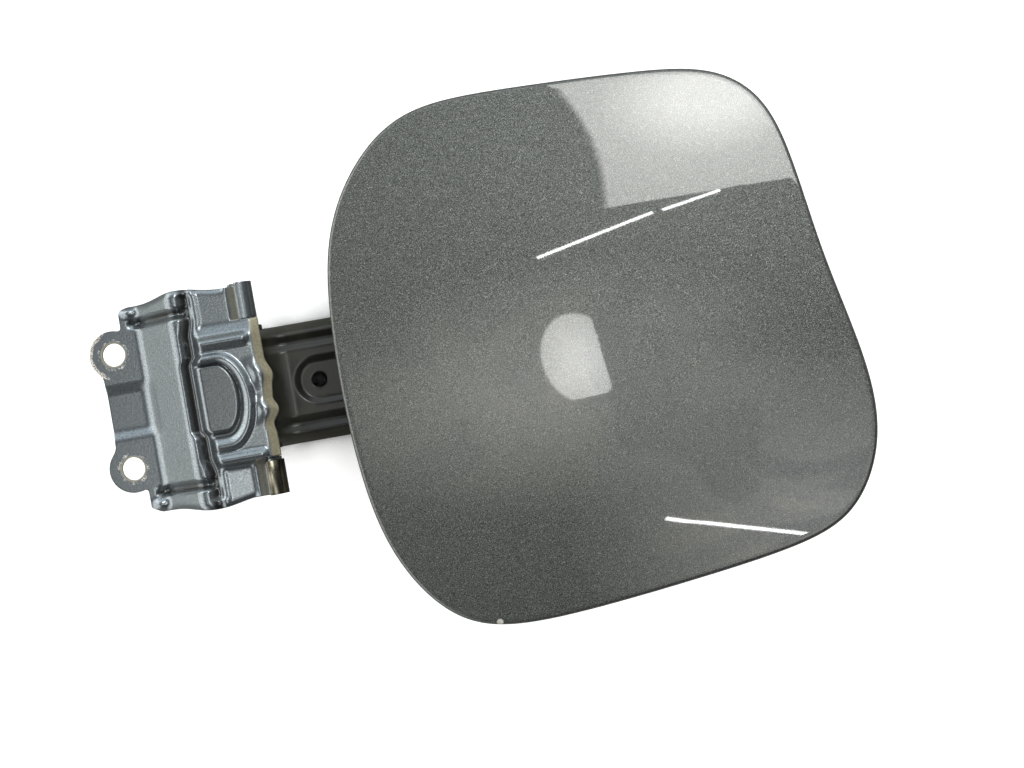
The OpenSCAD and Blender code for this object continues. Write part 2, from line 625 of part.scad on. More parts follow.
// Two rivets that hold the striker's foot to the inner panel
module striker_rivets() {
    color("silver") for (s = [-1, 1])
        translate([striker_x - 7, striker_y + s * rivet_dy, floor_z - 1.5]) rotate_extrude()
            polygon([[0, -1.3], [2, -1.3], [3.2, -0.6], [3.2, -0.02], [2, -0.02],
                [2, 1.52 + inner_t], [3.1, 1.52 + inner_t], [2.6, 2.4 + inner_t], [0, 2.4 + inner_t]]);
}

// Rubber buffer pushed into a hole of the inner panel
module buffer(p) {
    r = buffer_d / 2;
    neck = buffer_hole_r - seat_gap;
    color([0.1, 0.1, 0.1]) translate([p[0], p[1], floor_z]) rotate_extrude()
        polygon([[0, -buffer_h], [r * 0.62, -buffer_h], [r * 0.8, -buffer_h + 0.7],
            [r, -1.6], [r, -0.02], [neck, -0.02], [neck, inner_t + 0.04],
            [neck + 1, inner_t + 0.04], [neck + 0.7, inner_t + 1], [neck - 0.8, inner_t + 3.2],
            [0, inner_t + 3.2]]);
}
module upper_buffer() {
    buffer(buffer_places[0]);
}
module lower_buffer() {
    buffer(buffer_places[1]);
}

// Cap holder: clip with a slot for the fuel cap's grip, on two split pegs
module cap_holder() {
    base_l = 2 * peg_dx + 9;
    base_w = 13;
    wall = 2.4;
    depth = 12;
    color([0.16, 0.16, 0.17]) translate([cap_x, cap_y, floor_z - 0.02]) {
        difference() {
            translate([-base_l / 2, -base_w / 2, -2.2]) cube([base_l, base_w, 2.2]);
            for (s = [-1, 1]) translate([s * peg_dx, 0, -3]) cylinder(r = 1.2, h = 2);
        }
        along_y(-base_w / 2, base_w / 2) for (s = [-1, 1]) scale([s, 1])
            polygon([[cap_slot / 2, -2], [cap_slot / 2 + wall + 1.2, -2],
                [cap_slot / 2 + wall, -4], [cap_slot / 2 + wall, -depth],
                [cap_slot / 2 + wall + 1, -depth - 2.5], [cap_slot / 2 + 0.6, -depth - 2.5],
                [cap_slot / 2 - 0.9, -depth - 0.4], [cap_slot / 2, -depth + 1.4]]);
        for (s = [-1, 1]) translate([s * peg_dx, 0, -1]) difference() {
            rotate_extrude() polygon([[0, 0], [peg_r, 0], [peg_r, 1.1 + inner_t], [peg_r + 0.7, 1.1 + inner_t],
                [peg_r - 0.5, 4.6 + inner_t], [0, 4.6 + inner_t]]);
            translate([-0.5, -peg_r - 1, 1.3]) cube([1, 2 * peg_r + 2, 5]);
        }
    }
}

outer_skin();
inner_panel();
flutter_mastic();
hinge_arm();
hinge_bracket();
hinge_pin();
upper_bush();
lower_bush();
knuckle_spring();
latch_striker();
striker_rivets();
upper_buffer();
lower_buffer();
cap_holder();
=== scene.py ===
import math

import bmesh
import bpy
from mathutils import Matrix, Vector
from mathutils.kdtree import KDTree


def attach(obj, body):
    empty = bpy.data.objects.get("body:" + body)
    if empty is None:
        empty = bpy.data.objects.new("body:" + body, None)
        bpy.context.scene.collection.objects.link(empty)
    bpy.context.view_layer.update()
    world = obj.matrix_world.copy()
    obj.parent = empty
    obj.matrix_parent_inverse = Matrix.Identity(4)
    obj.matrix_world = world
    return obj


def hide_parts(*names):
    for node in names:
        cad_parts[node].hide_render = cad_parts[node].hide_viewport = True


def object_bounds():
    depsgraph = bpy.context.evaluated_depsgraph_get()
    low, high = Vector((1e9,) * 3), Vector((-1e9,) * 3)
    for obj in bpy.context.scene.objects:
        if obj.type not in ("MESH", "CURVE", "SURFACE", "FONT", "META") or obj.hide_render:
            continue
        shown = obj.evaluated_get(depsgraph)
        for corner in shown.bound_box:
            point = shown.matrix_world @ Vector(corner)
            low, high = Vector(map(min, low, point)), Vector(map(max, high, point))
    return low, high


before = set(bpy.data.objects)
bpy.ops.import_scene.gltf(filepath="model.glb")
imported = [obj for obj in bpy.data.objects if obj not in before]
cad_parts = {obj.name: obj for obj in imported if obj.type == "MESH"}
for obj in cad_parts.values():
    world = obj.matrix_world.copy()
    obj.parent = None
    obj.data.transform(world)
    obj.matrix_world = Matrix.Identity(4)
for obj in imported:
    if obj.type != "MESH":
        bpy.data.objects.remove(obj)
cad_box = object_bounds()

bpy.context.scene.view_settings.view_transform = "Standard"

# Hinge bracket: one blank of 1.6 mm steel, drawn in a press tool into two bolt ears, a sloping
# pad between moats and a beaded block, with a knuckle rolled at each side of its front edge.
# It is painted grey before it is fitted, and two bolts through the ears hold it to the body.
MM = 0.001
BRACKET_T = 1.6
BOLT_Y = 17.5
BOLT_HOLE_R = 3.5
EAR_R = 7.3
BAND_DROP = 1.2
SLOPE_X = (8.6, 20.9)
MOAT_X, MOAT_W, MOAT_DEPTH = 23.7, 3.3, 2.1
SIDE_MOAT_Y, SIDE_MOAT_DEPTH = 25.8, 2.09
BLOCK_Z = 12.2
BLOCK_HALF = 21.2
KNUCKLE_IN = 21.3
STEP_X = (38.2, 40.2)
WING_DROP = 1.5
BRACKET_HALF = 31.6
BEAD_H = 1.4
RIB_Y = (15.3, -19.8)
WING_EDGE = ((16.5, 20.8), (20.5, 22.8))
RING_W = 2.4
CREST_D = (31.9, -2.4, 8.0, 13.2)
PAD_D = (31.3, -1.0, 4.9, 9.5)
GROOVE_DEPTH = 1.0
LIP_DROP = 2.2
FRONT_X = 45.9
PIN_X, PIN_Z, PIN_R = 41.6, 4.4, 2.0
KNUCKLE_R = PIN_R + 0.05 + BRACKET_T
KNUCKLE_OUT = 32.3
TONGUE_Z = PIN_Z + KNUCKLE_R
ROLL = math.radians(292)


def mix(a, b, t):
    return a + (b - a) * t


def soft_step(v, a, b):
    """A smooth step from 0 at a to 1 at b."""
    t = min(1, max(0, (v - a) / (b - a)))
    return t * t * (3 - 2 * t)


def ridge(v, centre, half):
    """A rounded ridge of height 1 that is half wide on each side of its centre."""
    return math.cos(math.pi / 2 * (v - centre) / half) ** 2 if abs(v - centre) < half else 0


def ramp(v, a, b, r):
    """A straight ramp from 0 at a to 1 at b, with both corners rounded over r."""
    def ease(d):
        return 0 if d <= -r else d if d >= r else (d + r) ** 2 / (4 * r)
    return (ease(v - a) - ease(v - b)) / (b - a)


def front_edge(y):
    """The front end of the blank: the scalloped lip of the block, or the far end of a knuckle."""
    block = (FRONT_X + 1.7 * ridge(y, 3.4, 5.5) + 1.7 * ridge(y, -6.9, 4.4) + 0.7 * ridge(y, -1.7, 3.5)
             - 0.4 * ridge(y, -11.5, 3))
    return block if abs(y) < BLOCK_HALF else PIN_X + KNUCKLE_R * ROLL


def half_width(x, y):
    """Half the width of the bracket, which bulges beside the moat."""
    bulge = 1.6 * ridge(x, MOAT_X, 13) - 0.5 if y > 0 else 1.8 * ridge(x, MOAT_X + 1.5, 14) + 0.3
    return mix(BRACKET_HALF + bulge, KNUCKLE_OUT, soft_step(x, PIN_X - 1.5, PIN_X))


def bracket_room(x, y):
    """Distance in from the edge of the bracket's blank, and from its two bolt holes."""
    a = abs(y)
    rear = mix(-4.2, 3.4, soft_step(a, 13, 24)) + 1.4 * soft_step(a, BRACKET_HALF - 1.6, BRACKET_HALF)
    past_slit, slit = abs(a - (BLOCK_HALF + KNUCKLE_IN) / 2), (KNUCKLE_IN - BLOCK_HALF) / 2
    to_rear, to_side, corner = x - rear, half_width(x, y) - a, 2.2
    if to_rear < corner and to_side < corner:
        body = corner - math.hypot(corner - to_rear, corner - to_side)
    else:
        body = min(to_rear, to_side, front_edge(y) - x, max(past_slit - slit, STEP_X[0] - x))
    bolt = math.hypot(x, a - BOLT_Y)
    ear = EAR_R - bolt
    fillet = max(0, 1.6 - abs(body - ear)) ** 2 / 6.4
    return min(max(body, ear) + fillet, bolt - BOLT_HOLE_R)


def d_distance(x, y, d):
    """Distance out of a D that is open towards the moat."""
    dx, dy = max(0, x - d[0]), y - d[1]
    reach = max(0.01, math.hypot(dx / d[2], dy / d[3]))
    return math.hypot(dx, dy) * (1 - 1 / reach)


def ring_height(x, y):
    """Height of the D-shaped bead and of the groove that runs inside it."""
    outer, inner = d_distance(x, y, CREST_D), d_distance(x, y, PAD_D)
    if outer >= 0:
        return BEAD_H * ridge(outer, 0, RING_W)
    if inner <= 0:
        return 0
    t = inner / (inner - outer)
    return BEAD_H * soft_step(t, 0.3, 1) - GROOVE_DEPTH * ridge(t, 0.3, 0.3)


def moat_line(y):
    """The middle of the moat, which bends towards the front at both sides."""
    return MOAT_X + 1.4 * soft_step(abs(y), 9.5, 12.5) + soft_step(abs(y), 18, 23)


def painted_shade_at(x, y):
    """Painted shade in the moats, the side moats and the groove inside the ring bead; the pad inside the ring
    is painted a little darker.
    """
    moat_at = moat_line(y)
    moat = soft_step(x, moat_at - 2.6, moat_at - 1.2) * (1 - soft_step(x, moat_at - 0.4, moat_at + 0.9))
    side = (ridge(abs(y), SIDE_MOAT_Y + 0.5, 1.5)
            * soft_step(x, 4, 7) * (1 - soft_step(x, MOAT_X - 1, MOAT_X + 2)))
    outer, inner = d_distance(x, y, CREST_D), d_distance(x, y, PAD_D)
    groove = ridge(inner / (inner - outer), 0.25, 0.3) if inner > 0 > outer else 0
    pad = 0.4 if inner <= 0 else 0
    return max(moat, side, max(0.8 * groove, pad) * soft_step(x, MOAT_X + 2, MOAT_X + 4))


def scuff_at(x, y):
    """Wear on the ears: round the bolt heads, and on the rear edge of the upper ear."""
    bolt = math.hypot(x, abs(y) - BOLT_Y)
    washer = soft_step(bolt, BOLT_HOLE_R, BOLT_HOLE_R + 0.5) * (1 - soft_step(bolt, 4.6, 6.0))
    edge = soft_step(bolt, EAR_R - 1.8, EAR_R - 0.4) * (1 - soft_step(bolt, EAR_R, EAR_R + 1))
    return max(0.6 * washer, edge * (1 - soft_step(x, -4, 0)) * (1 if y > 0 else 0.5))


def bracket_height(x, y):
    """Height of the bracket's upper face above the seat on the body."""
    a = abs(y)
    moat_at = moat_line(y)
    level = BRACKET_T + (BLOCK_Z - BRACKET_T) * ramp(x, *SLOPE_X, 1.3)
    band = BAND_DROP * (1 - ramp(a, BOLT_Y - 12, BOLT_Y - 9, 0.8)) * (1 - ramp(x, 6.6, 10.5, 0.8))
    moat = MOAT_DEPTH * ridge(x, moat_at, MOAT_W) * (1 - 0.5 * soft_step(a, BRACKET_HALF - 2, BRACKET_HALF))
    side_moat = (SIDE_MOAT_DEPTH * ridge(a, SIDE_MOAT_Y, 2.3)
                 * soft_step(x, 5, 9) * (1 - soft_step(x, moat_at - 2, moat_at)))
    nub = 1.1 * ridge(x, 6.6, 3.4) * ridge(a, 29.4, 2.6)
    on_block = soft_step(x, moat_at + 1, moat_at + 3.5)
    behind_lip = 1 - soft_step(x, FRONT_X - 5, FRONT_X - 2.6)
    wing_edge = WING_EDGE[0] if y > 0 else WING_EDGE[1]
    on_wing = ramp(a, *wing_edge, 0.8)
    ribs = BEAD_H * (ridge(y, RIB_Y[0], 2.8) + ridge(y, RIB_Y[1], 2.8))
    beads = on_block * behind_lip * (ribs + ring_height(x, y))
    front = front_edge(y)
    scallops = 0.9 * ridge(x, front - 3.9, 3.2) * (ridge(y, 4.2, 6) + ridge(y, -6.6, 5.2))
    past_block = a > BLOCK_HALF + 0.05
    lip = LIP_DROP * ramp(x, front - 2.3, front, 0.5) * (1 - 0.7 * on_wing) * (1 - past_block)
    tilt = 0.07 * (32 - x) * on_block * on_wing * (1 - soft_step(x, STEP_X[0] - 2, STEP_X[0])) if y < 0 else 0
    tongue = (BLOCK_Z - WING_DROP - TONGUE_Z) * ramp(x, *STEP_X, 0.4) * past_block
    rim = 0.8 * (max(0, a - half_width(x, y) + 2) / 2) ** 2 * (1 - soft_step(x, STEP_X[0] - 2, STEP_X[0]))
    return (level - band - moat - side_moat + nub - WING_DROP * on_block * on_wing + beads + scallops
            + tilt - lip - tongue - rim)


def verts_in(geom):
    """The vertices among what a bmesh operator returns."""
    return [v for v in geom if isinstance(v, bmesh.types.BMVert)]


def cut_blank(low, high, cell, room):
    """A flat blank in square cells, whose edge runs where room(x, y) is 0."""
    bm = bmesh.new()
    size = [high[i] - low[i] for i in (0, 1)]
    bmesh.ops.create_grid(bm, x_segments=round(size[0] / cell), y_segments=round(size[1] / cell), size=0.5)
    bmesh.ops.scale(bm, vec=(*size, 1), verts=bm.verts)
    bmesh.ops.translate(bm, vec=((low[0] + high[0]) / 2, (low[1] + high[1]) / 2, 0), verts=bm.verts)
    scrap = [f for f in bm.faces if room(*f.calc_center_median()[:2]) < 0]
    bmesh.ops.delete(bm, geom=scrap, context="FACES")
    reach = cell / 10
    for v in bm.verts:
        if v.is_boundary:
            for _ in range(4):
                x, y, here = v.co.x, v.co.y, room(v.co.x, v.co.y)
                gx = (room(x + reach, y) - room(x - reach, y)) / (2 * reach)
                gy = (room(x, y + reach) - room(x, y - reach)) / (2 * reach)
                step = Vector((gx, gy, 0)) * (-here / max(0.3, gx * gx + gy * gy))
                v.co += step if step.length < cell else step.normalized() * cell
    bmesh.ops.dissolve_degenerate(bm, dist=cell / 20, edges=bm.edges)
    return bm


def second_face(bm):
    """Gives a flat sheet its other face, and returns that face's vertices."""
    return verts_in(bmesh.ops.extrude_face_region(bm, geom=bm.faces[:], use_keep_orig=True)["geom"])


def press(bm, place):
    """Gives a flat blank its second face, and puts each vertex where place(x, y, under) says."""
    for v in second_face(bm):
        v.co.z = 1
    for v in bm.verts:
        v.co = place(v.co.x, v.co.y, v.co.z > 0.5)
    bmesh.ops.recalc_face_normals(bm, faces=bm.faces)


def drop_by(height, thickness, most=1.7):
    """A place for press: thickness is measured across the sheet, so it grows where the sheet slopes."""
    def place(x, y, under):
        z = height(x, y)
        if under:
            gx = (height(x + 0.02, y) - height(x - 0.02, y)) / 0.04
            gy = (height(x, y + 0.02) - height(x, y - 0.02)) / 0.04
            z -= thickness * min(most, math.sqrt(1 + gx * gx + gy * gy))
        return x, y, z
    return place


def bracket_place(x, y, under):
    """The bracket's own place for press: past the pin's middle line, the blank is rolled round it."""
    if x <= PIN_X or abs(y) < BLOCK_HALF:
        return drop_by(bracket_height, BRACKET_T)(x, y, under)
    turn = (x - PIN_X) / KNUCKLE_R
    r = KNUCKLE_R - BRACKET_T if under else KNUCKLE_R
    return PIN_X + r * math.sin(turn), y, PIN_Z + r * math.cos(turn)


def finish_mesh(name, bm, material, edge=0.0, smooth=True):
    """Turns millimetres to metres, and makes the object, with its cut edges rounded over edge mm."""
    bmesh.ops.scale(bm, vec=(MM, MM, MM), verts=bm.verts)
    for f in bm.faces:
        f.smooth = smooth
    mesh = bpy.data.meshes.new(name)
    bm.to_mesh(mesh)
    bm.free()
    mesh.materials.append(material)
    piece = bpy.data.objects.new(name, mesh)
    bpy.context.scene.collection.objects.link(piece)
    if edge:
        rounding = piece.modifiers.new("rounded_edges", "BEVEL")
        rounding.width = edge * MM
        rounding.segments = 2
        rounding.limit_method = "ANGLE"
        rounding.angle_limit = math.radians(50)
        rounding.use_clamp_overlap = True
    return piece


def linear(hex_colour):
    """An sRGB hex colour as a linear RGBA colour."""
    parts = [int(hex_colour[i:i + 2], 16) / 255 for i in (1, 3, 5)]
    return (*[c / 12.92 if c <= 0.04045 else ((c + 0.055) / 1.055) ** 2.4 for c in parts], 1)


def node(tree, kind, wires=(), stops=(), **values):
    """Adds a node with its settings; wires are (input, source node, output of the source)."""
    made = tree.nodes.new(kind)
    for name, value in values.items():
        if hasattr(made, name):
            setattr(made, name, value)
        else:
            made.inputs[name.replace("_", " ")].default_value = value
    for i, (position, colour) in enumerate(stops):
        ramp_stops = made.color_ramp.elements
        stop = ramp_stops[i] if i < len(ramp_stops) else ramp_stops.new(position)
        stop.position, stop.color = position, colour
    for name, source, output in wires:
        tree.links.new(source.outputs[output], made.inputs[name])
    return made


def new_material(name):
    """An empty material with its output node and its Object coordinates."""
    material = bpy.data.materials.new(name)
    material.use_nodes = True
    tree = material.node_tree
    tree.nodes.clear()
    return material, tree, node(tree, "ShaderNodeOutputMaterial"), node(tree, "ShaderNodeTexCoord")


# Grey metallic finish on pressed steel: half-gloss, over an orange peel of about 0.7 mm that mottles
# the flats. Folded edges and the walls of the bolt holes show the beige primer, the moats and the
# groove inside the ring bead are darkened with painted shade, the pad inside the ring is painted a
# little darker, and the paint is scuffed to bright metal and rust where the bolts and tools touched it.
bracket_paint, tree, out, where = new_material("grey_metallic_paint_on_steel")
speckle = node(tree, "ShaderNodeTexNoise", [("Vector", where, "Object")], Scale=2600.0, Detail=2.0)
cloud = node(tree, "ShaderNodeTexNoise", [("Vector", where, "Object")], Scale=1400.0, Detail=2.0)
patches = node(tree, "ShaderNodeTexNoise", [("Vector", where, "Object")],
               Scale=650.0, Detail=5.0, Roughness=0.65)
tone = node(tree, "ShaderNodeValToRGB", [("Fac", speckle, "Fac")],
            stops=[(0.3, linear("#697075")), (0.7, linear("#8a9094"))])
# Painted shade: this attribute darkens the moats, the side moats, the ring groove and, a little, the pad
# inside the ring towards a dark brown-grey.
painted_shade = node(tree, "ShaderNodeAttribute", attribute_name="painted_shade")
shade_amount = node(tree, "ShaderNodeMapRange", [("Value", painted_shade, "Fac")], To_Max=0.88)
shaded_tone = node(tree, "ShaderNodeMix", [("Factor", shade_amount, "Result"), ("A", tone, "Color")],
             data_type="RGBA", B=linear("#2e2d29"))
bare = node(tree, "ShaderNodeAttribute", attribute_name="bare")
primer = node(tree, "ShaderNodeValToRGB", [("Fac", cloud, "Fac")],
              stops=[(0.35, linear("#8d866f")), (0.65, linear("#a09a82"))])
primed = node(tree, "ShaderNodeMix",
              [("Factor", bare, "Fac"), ("A", shaded_tone, "Result"), ("B", primer, "Color")], data_type="RGBA")
scuff = node(tree, "ShaderNodeAttribute", attribute_name="scuff")
wear = node(tree, "ShaderNodeMath", [(0, scuff, "Fac"), (1, patches, "Fac")], operation="MULTIPLY")
worn = node(tree, "ShaderNodeMapRange", [("Value", wear, "Value")], From_Min=0.3, From_Max=0.4)
rust = node(tree, "ShaderNodeValToRGB", [("Fac", speckle, "Fac")],
            stops=[(0.42, linear("#6b5646")), (0.56, linear("#d8d6cf"))])
base = node(tree, "ShaderNodeMix",
            [("Factor", worn, "Result"), ("A", primed, "Result"), ("B", rust, "Color")], data_type="RGBA")
dull = node(tree, "ShaderNodeMath", [(0, bare, "Fac"), (1, worn, "Result")], operation="MAXIMUM")
rough = node(tree, "ShaderNodeMapRange", [("Value", dull, "Value")], To_Min=0.27, To_Max=0.55)
metal = node(tree, "ShaderNodeMapRange", [("Value", dull, "Value")], To_Min=0.85, To_Max=0.1)
peel = node(tree, "ShaderNodeBump", [("Height", cloud, "Fac")], Strength=0.07, Distance=0.0004)
shader = node(tree, "ShaderNodeBsdfPrincipled",
              [("Base Color", base, "Result"), ("Roughness", rough, "Result"),
               ("Metallic", metal, "Result"), ("Normal", peel, "Normal")],
              Coat_Weight=0.35, Coat_Roughness=0.08)
tree.links.new(shader.outputs["BSDF"], out.inputs["Surface"])

# Cells of this size have the middle of a row on each of the two slits, so that a slit is one row
# wide. The blank's edge lies inside these rows and inside BLANK_X.
SLIT_ROWS, SIDE_ROWS, BLANK_X = 121, 99, (-8, 61)
row = (BLOCK_HALF + KNUCKLE_IN) / SLIT_ROWS
bm = cut_blank((BLANK_X[0], -SIDE_ROWS * row), (BLANK_X[1], SIDE_ROWS * row), row, bracket_room)
bare_layer = bm.verts.layers.float.new("bare")
painted_shade_layer = bm.verts.layers.float.new("painted_shade")
scuff_layer = bm.verts.layers.float.new("scuff")
for v in bm.verts:
    x, y = v.co.x, v.co.y
    hole = 1 - soft_step(math.hypot(x, abs(y) - BOLT_Y), BOLT_HOLE_R + 0.1, BOLT_HOLE_R + 0.6)
    if abs(y) < BLOCK_HALF:
        fold = soft_step(x, front_edge(y) - 2.6, front_edge(y) - 1.8)
    else:
        fold = soft_step(x, STEP_X[0], STEP_X[0] + 0.5) * (1 - soft_step(x, STEP_X[1], STEP_X[1] + 0.6))
    v[bare_layer] = max(hole, fold if abs(y) < BLOCK_HALF else 0.5 * fold)
    # Painted shade for the moats, the ring groove and the pad, kept on each vertex for the paint.
    v[painted_shade_layer] = painted_shade_at(x, y)
    v[scuff_layer] = scuff_at(x, y)
press(bm, bracket_place)
bracket = finish_mesh("hinge_bracket_pressing", bm, bracket_paint, edge=0.25)
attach(bracket, "bracket")
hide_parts("hinge_bracket")

# Hinge pin and its two bushes: a zinc-plated steel pin, held in both knuckles, on which
# the arm's eyes turn in moulded acetal bushes with a collar on the side of the knuckle.
PIN_LEN = 65.0
EAR_Y = 17.2
BUSH_BORE, BUSH_R, COLLAR_R = 2.05, 3.05, 3.75
COLLAR_IN, COLLAR_OUT = EAR_Y + 1.62, 21.0


def turned(name, profile, place, turn, material, edge=0.0, steps=64):
    """Turns a profile of (radius, height) points about Z, then puts it in place."""
    bm = bmesh.new()
    points = [bm.verts.new((r, 0, h)) for r, h in profile]
    edges = [bm.edges.new(pair) for pair in zip(points, points[1:])]
    if profile[0][0] > 0:
        edges.append(bm.edges.new((points[-1], points[0])))
    bmesh.ops.spin(bm, geom=points + edges, cent=(0, 0, 0), axis=(0, 0, 1), angle=math.tau,
                   steps=steps, use_merge=True)
    bmesh.ops.remove_doubles(bm, verts=bm.verts, dist=0.0005)
    bmesh.ops.recalc_face_normals(bm, faces=bm.faces)
    bmesh.ops.transform(bm, matrix=Matrix.Translation(place) @ turn.to_4x4(), verts=bm.verts)
    return finish_mesh(name, bm, material, edge=edge)


# Bright zinc plate: a thin even coat, so soft-edged reflections with a faint cloud in them.
zinc_plate, tree, out, where = new_material("bright_zinc_plated_steel")
cloud = node(tree, "ShaderNodeTexNoise", [("Vector", where, "Object")], Scale=260.0, Detail=4.0)
tone = node(tree, "ShaderNodeValToRGB", [("Fac", cloud, "Fac")],
            stops=[(0.3, linear("#a8a9a6")), (0.7, linear("#c6c6c1"))])
rough = node(tree, "ShaderNodeMapRange", [("Value", cloud, "Fac")], To_Min=0.22, To_Max=0.4)
shader = node(tree, "ShaderNodeBsdfPrincipled",
              [("Base Color", tone, "Color"), ("Roughness", rough, "Result")], Metallic=1.0)
tree.links.new(shader.outputs["BSDF"], out.inputs["Surface"])

# Moulded acetal: opaque off-white, with a low sheen from the mould.
acetal, tree, out, where = new_material("natural_acetal_moulding")
grain = node(tree, "ShaderNodeTexNoise", [("Vector", where, "Object")], Scale=900.0, Detail=3.0)
tone = node(tree, "ShaderNodeValToRGB", [("Fac", grain, "Fac")],
            stops=[(0.35, linear("#d5cfbb")), (0.65, linear("#e2ddcb"))])
bump = node(tree, "ShaderNodeBump", [("Height", grain, "Fac")], Strength=0.1, Distance=0.0001)
shader = node(tree, "ShaderNodeBsdfPrincipled", [("Base Color", tone, "Color"), ("Normal", bump, "Normal")],
              Roughness=0.42)
tree.links.new(shader.outputs["BSDF"], out.inputs["Surface"])

ALONG_PIN = Matrix.Rotation(-math.pi / 2, 3, "X")
half_pin = PIN_LEN / 2
pin = turned("hinge_pin_turned",
             [(0, -half_pin), (PIN_R - 0.4, -half_pin), (PIN_R, -half_pin + 0.4), (PIN_R, half_pin - 0.4),
              (PIN_R - 0.4, half_pin), (0, half_pin)],
             (PIN_X, 0, PIN_Z), ALONG_PIN, zinc_plate, edge=0.1)
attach(pin, "bracket")
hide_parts("hinge_pin")
for side, turn in (("upper", ALONG_PIN), ("lower", Matrix.Rotation(math.pi / 2, 3, "X"))):
    bush = turned(side + "_bush_moulded",
                  [(BUSH_BORE, EAR_Y - 0.3), (BUSH_R, EAR_Y - 0.3), (BUSH_R, COLLAR_IN),
                   (COLLAR_R, COLLAR_IN), (COLLAR_R, COLLAR_OUT), (BUSH_BORE, COLLAR_OUT)],
                  (PIN_X, 0, PIN_Z), turn, acetal, edge=0.12)
    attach(bush, "door")
    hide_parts(side + "_bush")

# Spring clip: a strip of bronzed spring steel, hooked over the lower knuckle. Its leaf runs back
# under the knuckle, to just short of the heel of the arm's lower eye. On the real hinge it bears
# on that heel, so that the door snaps open or shut.
SEAT_GAP = 0.05
SPRING_T = 0.6
SPRING_R = KNUCKLE_R + SEAT_GAP
SPRING_Y = (-32.5, -22.2)
SPRING_REACH = 12.0
FINGER_W, FINGER_LEN = 4.0, 5.9

# Tempered spring steel with a bronze heat tint: faint streaks along the rolling direction.
spring_steel, tree, out, where = new_material("bronze_tempered_spring_steel")
along = node(tree, "ShaderNodeMapping", [("Vector", where, "Object")], Scale=(160.0, 2600.0, 160.0))
streak = node(tree, "ShaderNodeTexNoise", [("Vector", along, "Vector")], Scale=1.0, Detail=3.0)
tone = node(tree, "ShaderNodeValToRGB", [("Fac", streak, "Fac")],
            stops=[(0.3, linear("#6b675b")), (0.7, linear("#7c7869"))])
rough = node(tree, "ShaderNodeMapRange", [("Value", streak, "Fac")], To_Min=0.2, To_Max=0.26)
shader = node(tree, "ShaderNodeBsdfPrincipled",
              [("Base Color", tone, "Color"), ("Roughness", rough, "Result")], Metallic=1.0)
tree.links.new(shader.outputs["BSDF"], out.inputs["Surface"])

bm = bmesh.new()
route = [(-0.9, SPRING_R + 0.1), (-0.7, SPRING_R)]
route += [(SPRING_R * math.sin(math.radians(a)), SPRING_R * math.cos(math.radians(a)))
          for a in range(0, 181, 6)]
route += [(-SPRING_REACH + FINGER_W, -SPRING_R), (-SPRING_REACH, -SPRING_R)]
line = [bm.verts.new((PIN_X + x, SPRING_Y[0], PIN_Z + z)) for x, z in route]
edges = [bm.edges.new(pair) for pair in zip(line, line[1:])]
swept = bmesh.ops.extrude_edge_only(bm, edges=edges)["geom"]
bmesh.ops.translate(bm, vec=(0, SPRING_Y[1] - SPRING_Y[0], 0), verts=verts_in(swept))
finger_x, finger_y = PIN_X - SPRING_REACH + FINGER_W + 0.01, SPRING_Y[1] - 0.01
finger = [e for e in bm.edges
          if all(v.co.x < finger_x and v.co.y > finger_y and v.co.z < PIN_Z for v in e.verts)]
reached = bmesh.ops.extrude_edge_only(bm, edges=finger)["geom"]
bmesh.ops.translate(bm, vec=(0, FINGER_LEN, 0), verts=verts_in(reached))
bmesh.ops.recalc_face_normals(bm, faces=bm.faces)
outward = next(f for f in bm.faces if f.calc_center_median().x > PIN_X + SPRING_R - 0.3)
if outward.normal.x < 0:
    bmesh.ops.reverse_faces(bm, faces=bm.faces)
bmesh.ops.solidify(bm, geom=bm.faces[:], thickness=-SPRING_T)
bmesh.ops.recalc_face_normals(bm, faces=bm.faces)
spring = finish_mesh("knuckle_spring_strip", bm, spring_steel, edge=0.12)
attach(spring, "bracket")
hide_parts("knuckle_spring")

# Hinge arm: a gooseneck pressed from 1.6 mm steel, with a groove beside each rail, flanged sides
# and a dished locating hole. Its two eyes turn on the pin, and its foot is welded to the door.
ARM_T = 1.6
ARM_HALF = 19.0
NECK_Z = PIN_Z - 25.0
NECK_R = 8.0
NECK_FLOOR = 22.0
LEG_ANGLE = 65.0
FOOT_R = 9.0
FOOT_LEN = 36.0
FLANGE_H = 5.5
ARM_GROOVE = 1.3
POCKET_DEPTH = 1.2
POCKET_R = 8.0
HOLE_X = PIN_X + NECK_R + 8
HOLE_R = 2.5
ARM_CELLS = (220, 96)
# Stations of the mesh along the arm, at which its eye plate, neck, floor, bend, leg, second bend
# and foot end.
EYE_TO, NECK_TO, FLOOR_TO, BEND_TO, LEG_TO, ANKLE_TO, FOOT_TO = 4, 10, 22, 26, 31, 35, 40
DOOR_Z = 22.0
FLOOR_Z = DOOR_Z - 11.0
LEG_RISE = FLOOR_Z - NECK_Z - (NECK_R + FOOT_R) * (1 - math.cos(math.radians(LEG_ANGLE)))
LEG_RUN = LEG_RISE / math.tan(math.radians(LEG_ANGLE))
LEG_X = PIN_X + NECK_R + NECK_FLOOR + NECK_R * math.sin(math.radians(LEG_ANGLE))
FOOT_X = LEG_X + LEG_RUN + FOOT_R * math.sin(math.radians(LEG_ANGLE))


def bend_at(cx, cz, r, angle, heading):
    """A point at an angle on a bend round (cx, cz), with the heading there."""
    a = math.radians(angle)
    return cx + r * math.cos(a), cz + r * math.sin(a), heading


